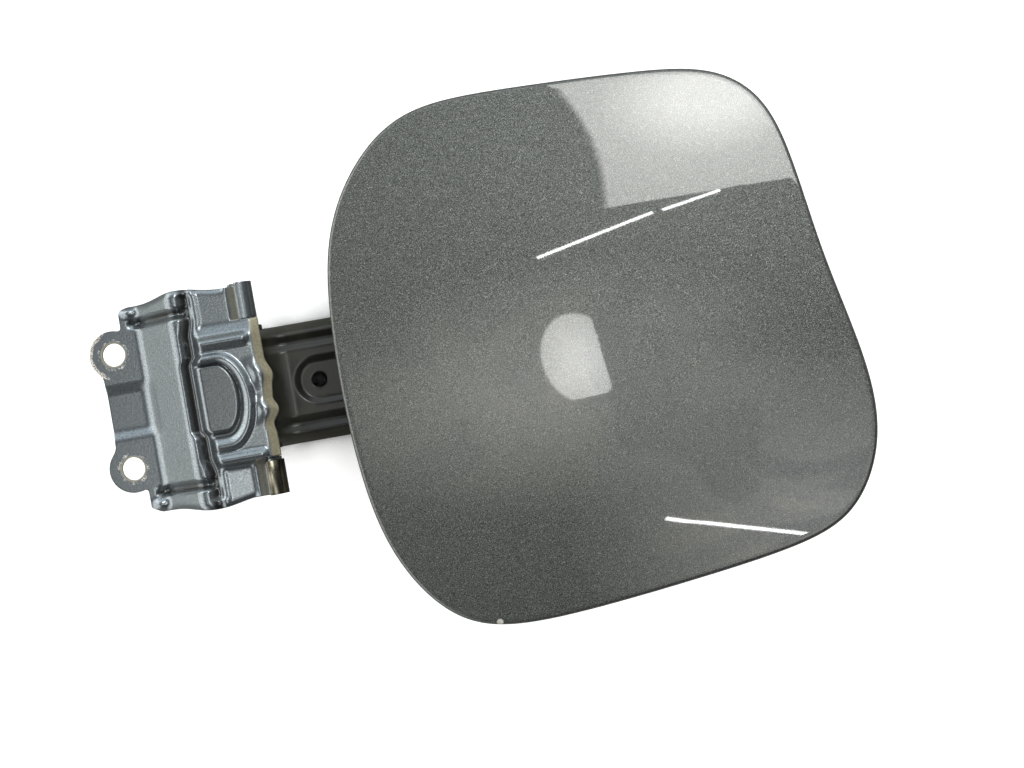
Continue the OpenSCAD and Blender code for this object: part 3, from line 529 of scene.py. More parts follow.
def arm_line(t):
    """Point of the arm's middle line, and its heading in degrees, at the station t."""
    if t < EYE_TO:
        return PIN_X, mix(PIN_Z - 8, NECK_Z + NECK_R, t / EYE_TO), -90
    if t < NECK_TO:
        a = 90 * (t - EYE_TO) / (NECK_TO - EYE_TO)
        return bend_at(PIN_X + NECK_R, NECK_Z + NECK_R, NECK_R, 180 + a, a - 90)
    if t < FLOOR_TO:
        return PIN_X + NECK_R + NECK_FLOOR * (t - NECK_TO) / (FLOOR_TO - NECK_TO), NECK_Z, 0
    if t < BEND_TO:
        a = LEG_ANGLE * (t - FLOOR_TO) / (BEND_TO - FLOOR_TO)
        return bend_at(PIN_X + NECK_R + NECK_FLOOR, NECK_Z + NECK_R, NECK_R, a - 90, a)
    if t < LEG_TO:
        up = (t - BEND_TO) / (LEG_TO - BEND_TO)
        low = NECK_Z + NECK_R * (1 - math.cos(math.radians(LEG_ANGLE)))
        return LEG_X + LEG_RUN * up, low + LEG_RISE * up, LEG_ANGLE
    if t < ANKLE_TO:
        a = LEG_ANGLE * (1 - (t - LEG_TO) / (ANKLE_TO - LEG_TO))
        return bend_at(FOOT_X, FLOOR_Z - FOOT_R, FOOT_R, a + 90, a)
    return FOOT_X + FOOT_LEN * (t - ANKLE_TO) / (FOOT_TO - ANKLE_TO), FLOOR_Z, 0


def across_arm(q):
    """Distance from the arm's middle line: rows of the mesh lie closer together at its sides."""
    return ARM_HALF * (1.35 * q - 0.35 * q ** 3)


def arm_height(t, w):
    """Height of the arm's pressed section over its middle line."""
    a, shoulder = abs(w), ARM_HALF - 3.8
    reach = math.hypot(max(0, HOLE_X - arm_line(t)[0]), w)
    pocket = (POCKET_DEPTH * (1 - soft_step(reach, POCKET_R - 2.5, POCKET_R))
              * soft_step(t, 7, 8) * (1 - soft_step(t, FLOOR_TO - 3, FLOOR_TO)))
    groove = ARM_GROOVE * (1 - soft_step(t, FLOOR_TO + 1, LEG_TO - 1)) * ridge(a, ARM_HALF - 6.1, 2.8)
    flange = (FLANGE_H * (1 - soft_step(t, FLOOR_TO - 1, LEG_TO))
              * (max(0, a - shoulder) / (ARM_HALF - shoulder)) ** 2)
    return -groove - pocket - flange


def arm_place(t, q, under):
    """Place of the vertex at the station t and at q, from -1 to 1, across the arm."""
    x, z, heading = arm_line(t)
    w = across_arm(q) * (1 - 0.09 * max(0, t - FOOT_TO + 2) ** 2)
    h = arm_height(t, w)
    if under:
        slope = (arm_height(t, w + 0.1) - arm_height(t, w - 0.1)) / 0.2
        h -= ARM_T * min(1.8, math.sqrt(1 + slope * slope))
    a = math.radians(heading)
    return x - h * math.sin(a), w, z + h * math.cos(a)


def arm_room(t, q):
    """Distance out from the arm's locating hole, on the floor of the gooseneck."""
    w = across_arm(q)
    on_floor = NECK_TO <= t <= FLOOR_TO
    return math.hypot(arm_line(t)[0] - HOLE_X, w) - HOLE_R if on_floor else 1


# Near-black gloss paint over an electrocoat: deep and faintly brown, with duller clouds in it.
arm_paint, tree, out, where = new_material("black_gloss_paint_on_steel")
cloud = node(tree, "ShaderNodeTexNoise", [("Vector", where, "Object")],
             Scale=140.0, Detail=5.0, Roughness=0.6)
tone = node(tree, "ShaderNodeValToRGB", [("Fac", cloud, "Fac")],
            stops=[(0.35, linear("#20201d")), (0.7, linear("#302f2a"))])
rough = node(tree, "ShaderNodeMapRange", [("Value", cloud, "Fac")], To_Min=0.26, To_Max=0.46)
peel = node(tree, "ShaderNodeBump", [("Height", cloud, "Fac")], Strength=0.1, Distance=0.0003)
shader = node(tree, "ShaderNodeBsdfPrincipled",
              [("Base Color", tone, "Color"), ("Roughness", rough, "Result"), ("Normal", peel, "Normal")],
              Specular_IOR_Level=0.35, Coat_Weight=0.2, Coat_Roughness=0.15)
tree.links.new(shader.outputs["BSDF"], out.inputs["Surface"])

bm = bmesh.new()
bmesh.ops.create_grid(bm, x_segments=ARM_CELLS[0], y_segments=ARM_CELLS[1], size=0.5)
for v in bm.verts:
    v.co = (FOOT_TO * (v.co.x + 0.5), 2 * v.co.y, 0)
hole_cells = [f for f in bm.faces if arm_room(*f.calc_center_median()[:2]) < 0]
bmesh.ops.delete(bm, geom=hole_cells, context="FACES")
for v in bm.verts:
    if v.is_boundary and NECK_TO < v.co.x < FLOOR_TO and abs(v.co.y) < 0.5:
        x = arm_line(v.co.x)[0]
        offset = Vector((x - HOLE_X, across_arm(v.co.y))).normalized() * HOLE_R
        v.co.x = NECK_TO + (FLOOR_TO - NECK_TO) * (HOLE_X + offset.x - PIN_X - NECK_R) / NECK_FLOOR
        v.co.y = offset.y / (1.35 * ARM_HALF)
press(bm, arm_place)
arm = finish_mesh("hinge_arm_pressing", bm, arm_paint, edge=0.3)
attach(arm, "door")

EYE_R = 4.6


def closed_loop(bm, points):
    """New vertices at the points, and the edges that join them in a loop."""
    verts = [bm.verts.new(p) for p in points]
    return verts, [bm.edges.new(pair) for pair in zip(verts, verts[1:] + verts[:1])]


for side, y0, heel in (("upper", EAR_Y, 0), ("lower", -EAR_Y - ARM_T, SPRING_REACH - FINGER_W - 0.3)):
    bm = bmesh.new()
    rim = [(EYE_R * math.cos(math.radians(a)), EYE_R * math.sin(math.radians(a)))
           for a in range(-24, 157 if heel else 181, 4)]
    if heel:
        rim += [(-heel, -heel / 4), (-heel, -heel / 2), (-4.9, -4.4)]
    rim += [(-6, -9), (-5.5, -17), (-0.4, -15), (-0.4, -9)]
    edges = closed_loop(bm, [(PIN_X + x, y0, PIN_Z + z) for x, z in rim])[1]
    at_pin = Matrix.Translation((PIN_X, y0, PIN_Z)) @ Matrix.Rotation(math.pi / 2, 4, "X")
    bore = bmesh.ops.create_circle(bm, segments=48, radius=BUSH_R + SEAT_GAP, matrix=at_pin)
    edges += list({e for v in bore["verts"] for e in v.link_edges})
    bmesh.ops.triangle_fill(bm, use_beauty=True, edges=edges)
    bmesh.ops.translate(bm, vec=(0, ARM_T, 0), verts=second_face(bm))
    bmesh.ops.recalc_face_normals(bm, faces=bm.faces)
    eye = finish_mesh(side + "_arm_eye", bm, arm_paint, edge=0.3, smooth=False)
    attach(eye, "door")
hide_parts("hinge_arm")

# Door skin: a 0.75 mm steel sheet, crowned in both directions, whose rim is folded back round
# the inner panel in a hem. It is painted with the body, in graphite metallic under clear lacquer.
DOOR_CENTRE = Vector((143, -4))
CROWN_R = (1500.0, 520.0)
SKIN_T = 0.75
INNER_T = 0.7
HEM_W = 8.5
HEM_R = SKIN_T + INNER_T / 2 + SEAT_GAP
DEEP_INSET = HEM_W + 9
DOOR_POINTS = [Vector(p) for p in (
    (213.5, 13), (210, 38.5), (204.5, 57.5), (191, 69), (168, 72.5), (136, 74), (110, 74), (94, 69),
    (81.5, 57.5), (72.5, 41), (68.7, 20), (68, -8), (70.3, -38), (76.5, -59), (88, -75), (104, -82),
    (130, -81.5), (162, -78), (192, -73.5), (210, -66), (220, -49), (221.5, -30), (218, -9))]


def rim_at(i, f):
    """Point of the door's outline, at the share f of the way from its point i to the next."""
    n = len(DOOR_POINTS)
    pull = [(8 * DOOR_POINTS[j % n] - DOOR_POINTS[(j - 1) % n] - DOOR_POINTS[(j + 1) % n]) / 6
            for j in range(i - 1, i + 3)]
    share = ((1 - f) ** 3, 3 * f ** 3 - 6 * f ** 2 + 4, 3 * (f + f ** 2 - f ** 3) + 1, f ** 3)
    return sum((p * s for p, s in zip(pull, share)), Vector((0, 0))) / 6


RIM_STEPS = 12
rim_points = [rim_at(i, k / RIM_STEPS) for i in range(len(DOOR_POINTS)) for k in range(RIM_STEPS)]
rim_normals = []
for before, after in zip(rim_points[-1:] + rim_points[:-1], rim_points[1:] + rim_points[:1]):
    along = after - before
    rim_normals.append(Vector((along.y, -along.x)).normalized())


def crown_z(p):
    """Height of the door's outer face."""
    dx, dy = p[0] - DOOR_CENTRE.x, p[1] - DOOR_CENTRE.y
    return DOOR_Z - dx ** 2 / (2 * CROWN_R[0]) - dy ** 2 / (2 * CROWN_R[1])


def on_crown(inset, depth, share=0.0):
    """A ring set in from the rim, drawn towards the middle by share, and sunk below the crown."""
    ring = [mix(p - n * inset, DOOR_CENTRE, share) for p, n in zip(rim_points, rim_normals)]
    return [(p.x, p.y, crown_z(p) - depth) for p in ring]


# Graphite metallic: aluminium flake in a dark base, under a thick clear lacquer. The flake
# shows as a grain of about 0.3 mm here, a little coarser than the real one, so that it is seen.
# At the lower edge of the rim the paint is chipped.
CHIP_AT, CHIP_R = Vector((101.9, -80.6, 15.4)), 0.8
body_paint, tree, out, where = new_material("graphite_metallic_under_clear_lacquer")
flake = node(tree, "ShaderNodeTexVoronoi", [("Vector", where, "Object")], Scale=4500.0)
grain = node(tree, "ShaderNodeTexNoise", [("Vector", where, "Object")], Scale=4000.0, Detail=1.0)
tone = node(tree, "ShaderNodeValToRGB", [("Fac", grain, "Fac")],
            stops=[(0.32, linear("#353735")), (0.5, linear("#4b4d4b")), (0.7, linear("#777975"))])
from_chip = node(tree, "ShaderNodeVectorMath", [(0, where, "Object")], operation="DISTANCE")
from_chip.inputs[1].default_value = CHIP_AT * MM
chip = node(tree, "ShaderNodeMapRange", [("Value", from_chip, "Value")],
            From_Min=(CHIP_R + 0.4) * MM, From_Max=CHIP_R * MM)
worn = node(tree, "ShaderNodeMix", [("Factor", chip, "Result"), ("A", tone, "Color")],
            data_type="RGBA", B=linear("#dcdad3"))
tilt = node(tree, "ShaderNodeVectorMath", [("Vector", flake, "Color")], operation="MULTIPLY_ADD")
tilt.inputs[1].default_value = (0.32, 0.32, 0.32)
tilt.inputs[2].default_value = (-0.16, -0.16, -0.16)
normal = node(tree, "ShaderNodeNewGeometry")
tilted = node(tree, "ShaderNodeVectorMath", [(0, normal, "Normal"), (1, tilt, "Vector")], operation="ADD")
shader = node(tree, "ShaderNodeBsdfPrincipled",
              [("Base Color", worn, "Result"), ("Normal", tilted, "Vector")],
              Metallic=0.75, Roughness=0.42, Coat_Weight=1.0, Coat_Roughness=0.02)
tree.links.new(shader.outputs["BSDF"], out.inputs["Surface"])

in_r = HEM_R - SKIN_T
shares = [s / 16 for s in range(15, 0, -1)]
insets = [DEEP_INSET - (DEEP_INSET - 2 * HEM_R) * i / 8 for i in range(9)]
rings = [on_crown(DEEP_INSET, 0, s) for s in shares] + [on_crown(d, 0) for d in insets]
rings += [on_crown(HEM_R * (1 - math.sin(a)), HEM_R * (1 - math.cos(a))) for a in
          (math.pi * i / 18 for i in range(19))]
rings += [on_crown(HEM_R + (HEM_W - HEM_R) * i / 4, 2 * HEM_R) for i in range(1, 5)]
rings += [on_crown(HEM_W - (HEM_W - HEM_R) * i / 4, 2 * HEM_R - SKIN_T) for i in range(4)]
rings += [on_crown(HEM_R - in_r * math.sin(a), HEM_R - in_r * math.cos(a)) for a in
          (math.pi * (1 - i / 8) for i in range(9))]
rings += [on_crown(d, SKIN_T) for d in (HEM_R * 2, HEM_W, DEEP_INSET)]
rings += [on_crown(DEEP_INSET, SKIN_T, s) for s in reversed(shares)]
bm = bmesh.new()
loop, edges = closed_loop(bm, rings[0])
first_edges = edges
for ring in rings[1:]:
    made = bmesh.ops.extrude_edge_only(bm, edges=edges)["geom"]
    edges = [e for e in made if isinstance(e, bmesh.types.BMEdge) and all(v in made for v in e.verts)]
    following = {}
    for v in verts_in(made):
        for e in v.link_edges:
            other = e.other_vert(v)
            if other not in made:
                following[other] = v
    loop = [following[v] for v in loop]
    for v, place in zip(loop, ring):
        v.co = place
for end_edges, z in ((first_edges, DOOR_Z), (edges, DOOR_Z - SKIN_T)):
    made = bmesh.ops.extrude_edge_only(bm, edges=end_edges)["geom"]
    bmesh.ops.pointmerge(bm, verts=verts_in(made), merge_co=(*DOOR_CENTRE, z))
bmesh.ops.recalc_face_normals(bm, faces=bm.faces)
skin = finish_mesh("door_outer_skin", bm, body_paint)
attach(skin, "door")
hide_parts("outer_skin")

# Inner panel: a pressed tray of 0.7 mm steel whose edge lies in the hem. Its floor has two long
# beads, four seats for mastic, drain holes, and the holes that the fittings are clipped into.
MASTIC_PLACES = ((104, 42), (104, -46), (150, 46), (150, -52))
MASTIC_R = 6.0
DRAINS = ((97, 30, 5), (97, -36, 5), (176, 22, 6), (172, -34, 6))
BEAD_Y = (31, -34)
BEAD_X = (112, 168)
STIFFENER_R = 4.5
BUFFERS = ((184, 46), (189, -50))
BUFFER_HOLE_R = 3.2
CAP = (156, -3)
PEG_DX = 11
PEG_R = 2.2
STRIKER = (193, -6)
RIVET_DX, RIVET_DY = 7, 5.5
PANEL_BLANK, PANEL_CELL = ((66, -84), (224, 76)), 0.95
rim_tree = KDTree(len(rim_points))
for i, p in enumerate(rim_points):
    rim_tree.insert((p.x, p.y, 0), i)
rim_tree.balance()
holes = [*DRAINS, *((*p, BUFFER_HOLE_R) for p in BUFFERS)]
holes += [(CAP[0] + s * PEG_DX, CAP[1], PEG_R + SEAT_GAP) for s in (-1, 1)]


def rim_inset(x, y):
    """Distance in from the door's rim."""
    i = rim_tree.find((x, y, 0))[1]
    return (rim_points[i] - Vector((x, y))).dot(rim_normals[i])


def panel_room(x, y):
    """Distance in from the edge of the panel's blank, and from its holes."""
    return min(rim_inset(x, y) - HEM_R, *(math.hypot(x - hx, y - hy) - r for hx, hy, r in holes))


def panel_height(x, y):
    """Height of the inner panel's upper face."""
    edge_z = crown_z((x, y)) - SKIN_T - SEAT_GAP
    floor = FLOOR_Z + INNER_T
    z = mix(edge_z, floor, ramp(rim_inset(x, y), HEM_W + 2.6, HEM_W + 7.9, 1.6))
    for px, py in MASTIC_PLACES:
        top = crown_z((px, py)) - SKIN_T - 1.8
        z = max(z, mix(top, floor, ramp(math.hypot(x - px, y - py), MASTIC_R + 1, MASTIC_R + 5.5, 1.0)))
    for bead in BEAD_Y:
        reach = math.hypot(max(0, BEAD_X[0] - x, x - BEAD_X[1]), y - bead)
        if reach < STIFFENER_R:
            round_top = (1 - (reach / STIFFENER_R) ** 2) ** 0.5
            z += STIFFENER_R * 0.95 * round_top * soft_step(STIFFENER_R - reach, 0, 1.2)
    return z


# Body colour on the hidden side: the same base sprayed thin, so it is duller and more mottled.
inner_paint, tree, out, where = new_material("thin_graphite_paint_on_panel")
grain = node(tree, "ShaderNodeTexNoise", [("Vector", where, "Object")], Scale=1700.0, Detail=2.0)
cloud = node(tree, "ShaderNodeTexNoise", [("Vector", where, "Object")], Scale=45.0, Detail=4.0)
tone = node(tree, "ShaderNodeValToRGB", [("Fac", grain, "Fac")],
            stops=[(0.3, linear("#56585a")), (0.7, linear("#7c7e80"))])
worn = node(tree, "ShaderNodeValToRGB", [("Fac", cloud, "Fac")],
            stops=[(0.35, linear("#8b8d8e")), (0.75, linear("#ffffff"))])
base = node(tree, "ShaderNodeMix", [("A", tone, "Color"), ("B", worn, "Color")],
            data_type="RGBA", blend_type="MULTIPLY", Factor=0.6)
rough = node(tree, "ShaderNodeMapRange", [("Value", cloud, "Fac")], To_Min=0.38, To_Max=0.6)
shader = node(tree, "ShaderNodeBsdfPrincipled",
              [("Base Color", base, "Result"), ("Roughness", rough, "Result")],
              Metallic=0.35, Coat_Weight=0.3, Coat_Roughness=0.2)
tree.links.new(shader.outputs["BSDF"], out.inputs["Surface"])

bm = cut_blank(*PANEL_BLANK, PANEL_CELL, panel_room)
press(bm, drop_by(panel_height, INNER_T))
panel = finish_mesh("door_inner_panel", bm, inner_paint, edge=0.15)
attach(panel, "door")
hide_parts("inner_panel")

# Small fittings of the door: mastic pads, the latch striker with its rivets, two rubber buffers
# and the clip that holds the fuel cap. Each is pushed, riveted or laid on the inner panel.
STRIKER_H, STRIKER_W, STRIKER_T = 25.0, 17.0, 1.5
STRIKER_FOOT, STRIKER_CORNER = 16.0, 4.0
WINDOW_HALF, WINDOW_FROM, WINDOW_TO = 4.0, 4.0, 14.0
BUFFER_H, BUFFER_R = 8.0, 6.5

# Rubber: matt black with a bloom that greys it in patches.
rubber, tree, out, where = new_material("black_moulded_rubber")
cloud = node(tree, "ShaderNodeTexNoise", [("Vector", where, "Object")], Scale=350.0, Detail=4.0)
tone = node(tree, "ShaderNodeValToRGB", [("Fac", cloud, "Fac")],
            stops=[(0.3, linear("#171717")), (0.75, linear("#2a2a29"))])
bump = node(tree, "ShaderNodeBump", [("Height", cloud, "Fac")], Strength=0.2, Distance=0.0002)
shader = node(tree, "ShaderNodeBsdfPrincipled", [("Base Color", tone, "Color"), ("Normal", bump, "Normal")],
              Roughness=0.75)
tree.links.new(shader.outputs["BSDF"], out.inputs["Surface"])

# Glass-filled nylon: black, with a fine grain from the mould.
nylon, tree, out, where = new_material("black_glass_filled_nylon")
grain = node(tree, "ShaderNodeTexNoise", [("Vector", where, "Object")], Scale=1500.0, Detail=3.0)
tone = node(tree, "ShaderNodeValToRGB", [("Fac", grain, "Fac")],
            stops=[(0.3, linear("#1c1c1d")), (0.7, linear("#2b2b2d"))])
bump = node(tree, "ShaderNodeBump", [("Height", grain, "Fac")], Strength=0.15, Distance=0.0001)
shader = node(tree, "ShaderNodeBsdfPrincipled", [("Base Color", tone, "Color"), ("Normal", bump, "Normal")],
              Roughness=0.5)
tree.links.new(shader.outputs["BSDF"], out.inputs["Surface"])

bm = bmesh.new()
sx, sy = STRIKER
foot_x = sx - STRIKER_FOOT + STRIKER_T
tip_z, half = FLOOR_Z - STRIKER_H, STRIKER_W / 2
outline = [(sx, sy - half, FLOOR_Z), (sx, sy - half, tip_z + STRIKER_CORNER),
           (sx, sy - half + STRIKER_CORNER, tip_z), (sx, sy + half - STRIKER_CORNER, tip_z),
           (sx, sy + half, tip_z + STRIKER_CORNER), (sx, sy + half, FLOOR_Z)]
window = [(sx, sy - WINDOW_HALF, tip_z + WINDOW_FROM), (sx, sy + WINDOW_HALF, tip_z + WINDOW_FROM),
          (sx, sy + WINDOW_HALF, tip_z + WINDOW_TO), (sx, sy - WINDOW_HALF, tip_z + WINDOW_TO)]
edges = closed_loop(bm, outline)[1] + closed_loop(bm, window)[1]
bmesh.ops.triangle_fill(bm, use_beauty=True, edges=edges)
bmesh.ops.translate(bm, vec=(STRIKER_T, 0, 0), verts=second_face(bm))
foot = bmesh.ops.create_cube(bm, size=1)["verts"]
bmesh.ops.scale(bm, vec=(STRIKER_FOOT, STRIKER_W, STRIKER_T), verts=foot)
bmesh.ops.translate(bm, vec=(foot_x + STRIKER_FOOT / 2, sy, FLOOR_Z - STRIKER_T / 2), verts=foot)
bmesh.ops.recalc_face_normals(bm, faces=bm.faces)
striker = finish_mesh("latch_striker_plate", bm, zinc_plate, edge=0.35, smooth=False)
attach(striker, "door")
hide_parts("latch_striker")

grip = STRIKER_T + 0.02 + INNER_T
for number, s in enumerate((-1, 1)):
    rivet = turned("striker_rivet_%d" % (number + 1),
                   [(0, -1.3), (1.6, -1.3), (2.6, -1.0), (3.2, -0.5), (3.2, -0.02), (2, -0.02),
                    (2, grip), (3.1, grip), (2.6, grip + 0.88), (0, grip + 0.88)],
                   (sx - RIVET_DX, sy + s * RIVET_DY, FLOOR_Z - STRIKER_T), Matrix.Identity(3), zinc_plate)
    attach(rivet, "door")
    if number == 0:
        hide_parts("striker_rivets")

neck = BUFFER_HOLE_R - SEAT_GAP
for side, (bx, by) in zip(("upper", "lower"), BUFFERS):
    buffer = turned(side + "_rubber_buffer",
                    [(0, -BUFFER_H), (BUFFER_R * 0.5, -BUFFER_H), (BUFFER_R * 0.68, -BUFFER_H + 0.2),
                     (BUFFER_R * 0.8, -BUFFER_H + 0.8), (BUFFER_R, -1.6), (BUFFER_R, -0.02), (neck, -0.02),
                     (neck, INNER_T + 0.04), (neck + 1, INNER_T + 0.04), (neck + 0.7, INNER_T + 1),
                     (neck - 0.8, INNER_T + 3.2), (0, INNER_T + 3.2)],
                    (bx, by, FLOOR_Z), Matrix.Identity(3), rubber, edge=0.2)
    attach(buffer, "door")
    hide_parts(side + "_buffer")

for name, material in (("flutter_mastic", rubber), ("cap_holder", nylon)):
    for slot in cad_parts[name].material_slots:
        slot.material = material

# Studio: a pale table, a room with a window to the north and one to the west under a lit
# ceiling, five lamps, and the camera straight above, turned as the photograph is.
CAMERA_AT = (117.5, -12.1, 522.0)
VIEW_TURN = -10.0
VIEW_WIDTH, VIEW_DISTANCE = 310.3, 520.0
FLOOR_SIZE = 6.0

# The table lights the object as pale card, and the mirror-like surfaces see it greyer. The camera
# sees it white, with a shadow where the object stands close over it, and from below it is clear.
floor_paint, tree, out, where = new_material("pale_table_top")
path = node(tree, "ShaderNodeLightPath")
lit_board = node(tree, "ShaderNodeBsdfDiffuse", Color=linear("#e4e3de"))
dim_board = node(tree, "ShaderNodeBsdfDiffuse", Color=linear("#8d8c86"))
board = node(tree, "ShaderNodeMixShader", [(0, path, "Is Glossy Ray"), (1, lit_board, 0), (2, dim_board, 0)])
cover = node(tree, "ShaderNodeAmbientOcclusion", Distance=0.05)
shade = node(tree, "ShaderNodeValToRGB", [("Fac", cover, "AO")],
             stops=[(0.28, (0.0, 0.0, 0.0, 1)), (0.75, (0.7, 0.7, 0.7, 1))])
pale_board = node(tree, "ShaderNodeBsdfDiffuse", [("Color", shade, "Color")])
white = node(tree, "ShaderNodeEmission", [("Color", shade, "Color")])
seen_board = node(tree, "ShaderNodeAddShader", [(0, pale_board, 0), (1, white, 0)])
top = node(tree, "ShaderNodeMixShader", [(0, path, "Is Camera Ray"), (1, board, 0), (2, seen_board, 0)])
side = node(tree, "ShaderNodeNewGeometry")
clear = node(tree, "ShaderNodeBsdfTransparent")
both = node(tree, "ShaderNodeMixShader", [(0, side, "Backfacing"), (1, top, 0), (2, clear, 0)])
tree.links.new(both.outputs[0], out.inputs["Surface"])
bm = bmesh.new()
bmesh.ops.create_grid(bm, x_segments=1, y_segments=1, size=FLOOR_SIZE / 2 / MM)
bmesh.ops.translate(bm, vec=(0, 0, cad_box[0][2] / MM), verts=bm.verts)
floor = finish_mesh("table_top", bm, floor_paint)

world = bpy.data.worlds.new("studio_dome")
bpy.context.scene.world = world
world.use_nodes = True
tree = world.node_tree
tree.nodes.clear()
out = node(tree, "ShaderNodeOutputWorld")
path = node(tree, "ShaderNodeLightPath")
where = node(tree, "ShaderNodeTexCoord")
parts = node(tree, "ShaderNodeSeparateXYZ", [("Vector", where, "Generated")])

# The room is bright at the horizon and dark over it, and dimmer to the south.
dome = node(tree, "ShaderNodeValToRGB", [("Fac", parts, "Z")],
            stops=[(0.0, (0.85, 0.85, 0.82, 1)), (0.1, (0.58, 0.58, 0.55, 1)),
                   (0.3, (0.3, 0.3, 0.29, 1)), (0.55, (0.07, 0.07, 0.075, 1)),
                   (0.88, (0.12, 0.125, 0.13, 1)), (1.0, (0.2, 0.205, 0.21, 1))])
south = node(tree, "ShaderNodeMapRange", [("Value", parts, "Y")], From_Min=-0.5, From_Max=-0.1, To_Min=0.3)
room = node(tree, "ShaderNodeVectorMath", [(0, dome, "Color"), (1, south, "Result")], operation="MULTIPLY")

# The north window stands over a sill and is cooler. The west window reaches down to the horizon.
north = node(tree, "ShaderNodeMapRange", [("Value", parts, "Y")], From_Min=0.2, From_Max=0.6, To_Max=1.5)
west = node(tree, "ShaderNodeMapRange", [("Value", parts, "X")], From_Min=-0.25, From_Max=-0.65, To_Max=2.3)
sill = node(tree, "ShaderNodeValToRGB", [("Fac", parts, "Z")],
            stops=[(0.15, (0, 0, 0, 1)), (0.38, (0.9, 1, 1.05, 1)),
                   (0.66, (0.9, 1, 1.05, 1)), (0.86, (0, 0, 0, 1))])
north_window = node(tree, "ShaderNodeVectorMath", [(0, sill, "Color"), (1, north, "Result")],
                    operation="MULTIPLY")
tall = node(tree, "ShaderNodeValToRGB", [("Fac", parts, "Z")],
            stops=[(0.0, (0.8, 0.8, 0.74, 1)), (0.35, (1, 1, 0.95, 1)),
                   (0.62, (1, 1, 1, 1)), (0.84, (0, 0, 0, 1))])
west_window = node(tree, "ShaderNodeVectorMath", [(0, tall, "Color"), (1, west, "Result")],
                   operation="MULTIPLY")
windows = node(tree, "ShaderNodeVectorMath", [(0, north_window, "Vector"), (1, west_window, "Vector")],
               operation="ADD")
lit_room = node(tree, "ShaderNodeVectorMath", [(0, room, "Vector"), (1, windows, "Vector")], operation="ADD")

# The ceiling is lit overhead and, by a lantern, towards the southeast. Beams part it into bays.
overhead = node(tree, "ShaderNodeMapping", [("Vector", where, "Generated")],
                Location=(-0.02, 0.207, 0), Scale=(3.9, 4.6, 0))
fade = node(tree, "ShaderNodeTexGradient", [("Vector", overhead, "Vector")], gradient_type="SPHERICAL")
above = node(tree, "ShaderNodeMath", [(0, parts, "Z")], operation="GREATER_THAN")
ceiling = node(tree, "ShaderNodeValToRGB", [("Fac", fade, "Fac")],
               stops=[(0.0, (0, 0, 0, 1)), (0.45, (1.3, 1.3, 1.22, 1)), (1.0, (2.9, 2.9, 2.75, 1))])
beside = node(tree, "ShaderNodeMapping", [("Vector", where, "Generated")],
              Location=(-0.98, 1.06, 0), Scale=(3.93, 3.24, 0))
fade = node(tree, "ShaderNodeTexGradient", [("Vector", beside, "Vector")], gradient_type="SPHERICAL")
lantern = node(tree, "ShaderNodeValToRGB", [("Fac", fade, "Fac")],
               stops=[(0.0, (0, 0, 0, 1)), (1.0, (3.5, 3.5, 3.4, 1))])
glow = node(tree, "ShaderNodeVectorMath", [(0, ceiling, "Color"), (1, lantern, "Color")], operation="ADD")
beams = node(tree, "ShaderNodeTexNoise", [("Vector", where, "Generated")],
             Scale=4.5, Detail=1.0, Distortion=1.4)
bays = node(tree, "ShaderNodeValToRGB", [("Fac", beams, "Fac")],
            stops=[(0.4, (0.68, 0.7, 0.74, 1)), (0.44, (1, 1, 1, 1)),
                   (0.55, (1, 1, 1, 1)), (0.58, (1.2, 1.18, 1.12, 1))])
roof = node(tree, "ShaderNodeVectorMath", [(0, glow, "Vector"), (1, bays, "Color")], operation="MULTIPLY")
ceiling_above = node(tree, "ShaderNodeVectorMath", [(0, roof, "Vector"), (1, above, "Value")],
                     operation="MULTIPLY")
sky = node(tree, "ShaderNodeVectorMath", [(0, lit_room, "Vector"), (1, ceiling_above, "Vector")],
           operation="ADD")
light = node(tree, "ShaderNodeBackground", [("Color", sky, "Vector")])

# The camera sees white in place of the room.
white = node(tree, "ShaderNodeBackground", Color=(1, 1, 1, 1))
both = node(tree, "ShaderNodeMixShader", [(0, path, "Is Camera Ray"), (1, light, 0), (2, white, 0)])
tree.links.new(both.outputs[0], out.inputs["Surface"])

# Lamps over the table, all facing down: x and y of the middle in metres, the turn in degrees, the
# length and width in metres, and the power in watts.
LAMP_Z = 1.5
LAMPS = {"soft_box": ((0.5675, 0.72), 0, 0.665, 0.66, 12.0),
         "long_tube": ((0.2555, 0.318), 19, 0.227, 0.008, 0.16),
         "short_tube": ((0.4345, 0.372), 15.4, 0.113, 0.008, 0.08),
         "low_tube": ((0.4245, -0.5865), -27.2, 0.291, 0.01, 0.26),
         "round_lamp": ((0.176, -0.01), 4, 0.106, 0.245, 0.75)}
for name, (place, turn, length, width, power) in LAMPS.items():
    lamp = bpy.data.lights.new(name, "AREA")
    lamp.shape, lamp.size, lamp.size_y, lamp.energy = "RECTANGLE", length, width, power
    lamp_object = bpy.data.objects.new(name, lamp)
    bpy.context.scene.collection.objects.link(lamp_object)
    lamp_object.matrix_world = (Matrix.Translation((*place, LAMP_Z))
                                @ Matrix.Rotation(math.radians(turn), 4, "Z"))

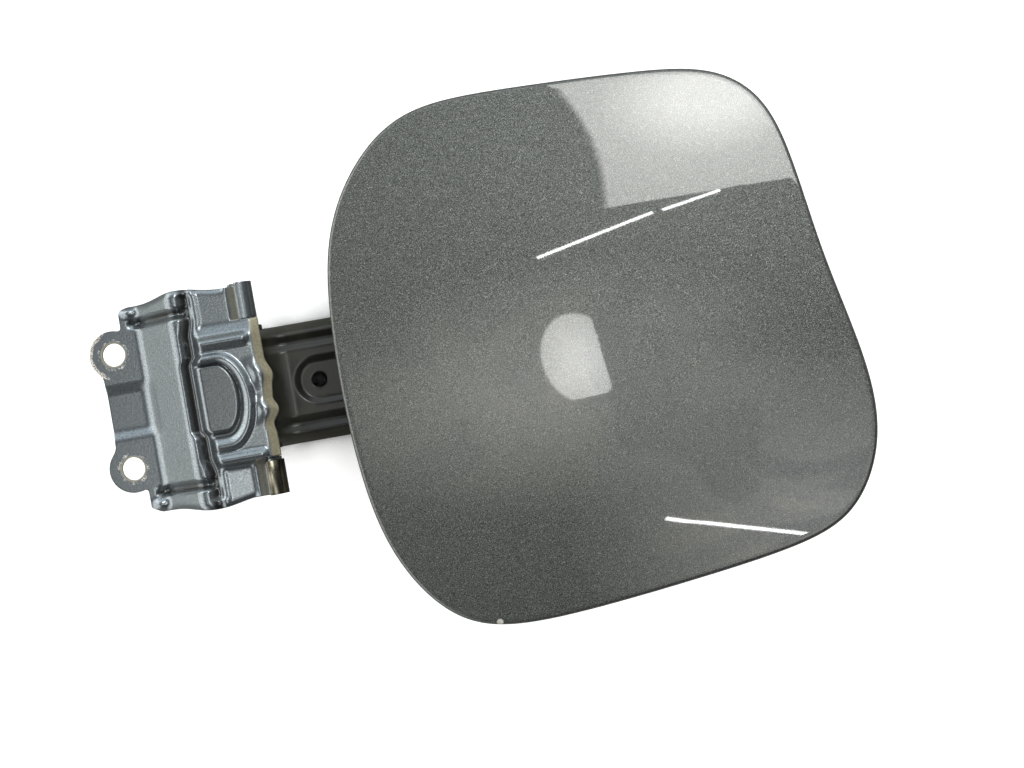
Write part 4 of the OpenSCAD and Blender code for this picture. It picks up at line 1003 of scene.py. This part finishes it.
# Across the soft box and the round lamp the light fades from a bright middle. Its place is given
# in parts of the lamp's length and width, and then come how steeply it fades and its levels. The
# soft box has a bowed left edge, the round lamp a straight right one.
SOFT_EDGE, SOFT_BOW, SOFT_BOW_AT = (0.072, 0.092), 0.376, 0.17
FADES = {"soft_box": ((0.42, 0.45), (1.9, 2.0), ((0.0, 0.85), (0.4, 1.05), (0.8, 1.9))),
         "round_lamp": ((0.62, 0.46), (1.6, 1.85), ((0.0, 0.0), (0.06, 0.8), (0.7, 1.15)))}
for name, (middle, steepness, levels) in FADES.items():
    lamp = bpy.data.lights[name]
    lamp.use_nodes = True
    tree = lamp.node_tree
    tree.nodes.clear()
    out = node(tree, "ShaderNodeOutputLight")
    across = node(tree, "ShaderNodeNewGeometry")
    centred = node(tree, "ShaderNodeMapping", [("Vector", across, "Parametric")],
                   Location=(-middle[0] * steepness[0], -middle[1] * steepness[1], 0),
                   Scale=(*steepness, 0))
    fade = node(tree, "ShaderNodeTexGradient", [("Vector", centred, "Vector")], gradient_type="SPHERICAL")
    tone = node(tree, "ShaderNodeValToRGB", [("Fac", fade, "Fac")],
                stops=[(at, (level, level, level * 0.97, 1)) for at, level in levels])
    lit = node(tree, "ShaderNodeEmission", [("Color", tone, "Color")])
    tree.links.new(lit.outputs[0], out.inputs["Surface"])
    if name == "soft_box":
        parts = node(tree, "ShaderNodeSeparateXYZ", [("Vector", across, "Parametric")])
        past = node(tree, "ShaderNodeMath", [(0, parts, "Y")], operation="SUBTRACT")
        past.inputs[1].default_value = SOFT_BOW_AT
        squared = node(tree, "ShaderNodeMath", [(0, past, "Value"), (1, past, "Value")], operation="MULTIPLY")
        bowed = node(tree, "ShaderNodeMath", [(0, squared, "Value"), (2, parts, "X")],
                     operation="MULTIPLY_ADD")
        bowed.inputs[1].default_value = SOFT_BOW
        edge = node(tree, "ShaderNodeMapRange", [("Value", bowed, "Value")],
                    From_Min=SOFT_EDGE[0], From_Max=SOFT_EDGE[1])
        tree.links.new(edge.outputs["Result"], lit.inputs["Strength"])

# The camera looks straight down from the place that the photograph was taken from.
camera_data = bpy.data.cameras.new("camera")
camera_data.sensor_fit = "HORIZONTAL"
camera_data.angle = 2 * math.atan(VIEW_WIDTH / 2 / VIEW_DISTANCE)
camera_data.clip_start = 0.01
camera = bpy.data.objects.new("camera", camera_data)
bpy.context.scene.collection.objects.link(camera)
camera.matrix_world = (Matrix.Translation(Vector(CAMERA_AT) * MM)
                       @ Matrix.Rotation(math.radians(VIEW_TURN), 4, "Z"))
bpy.context.scene.camera = camera
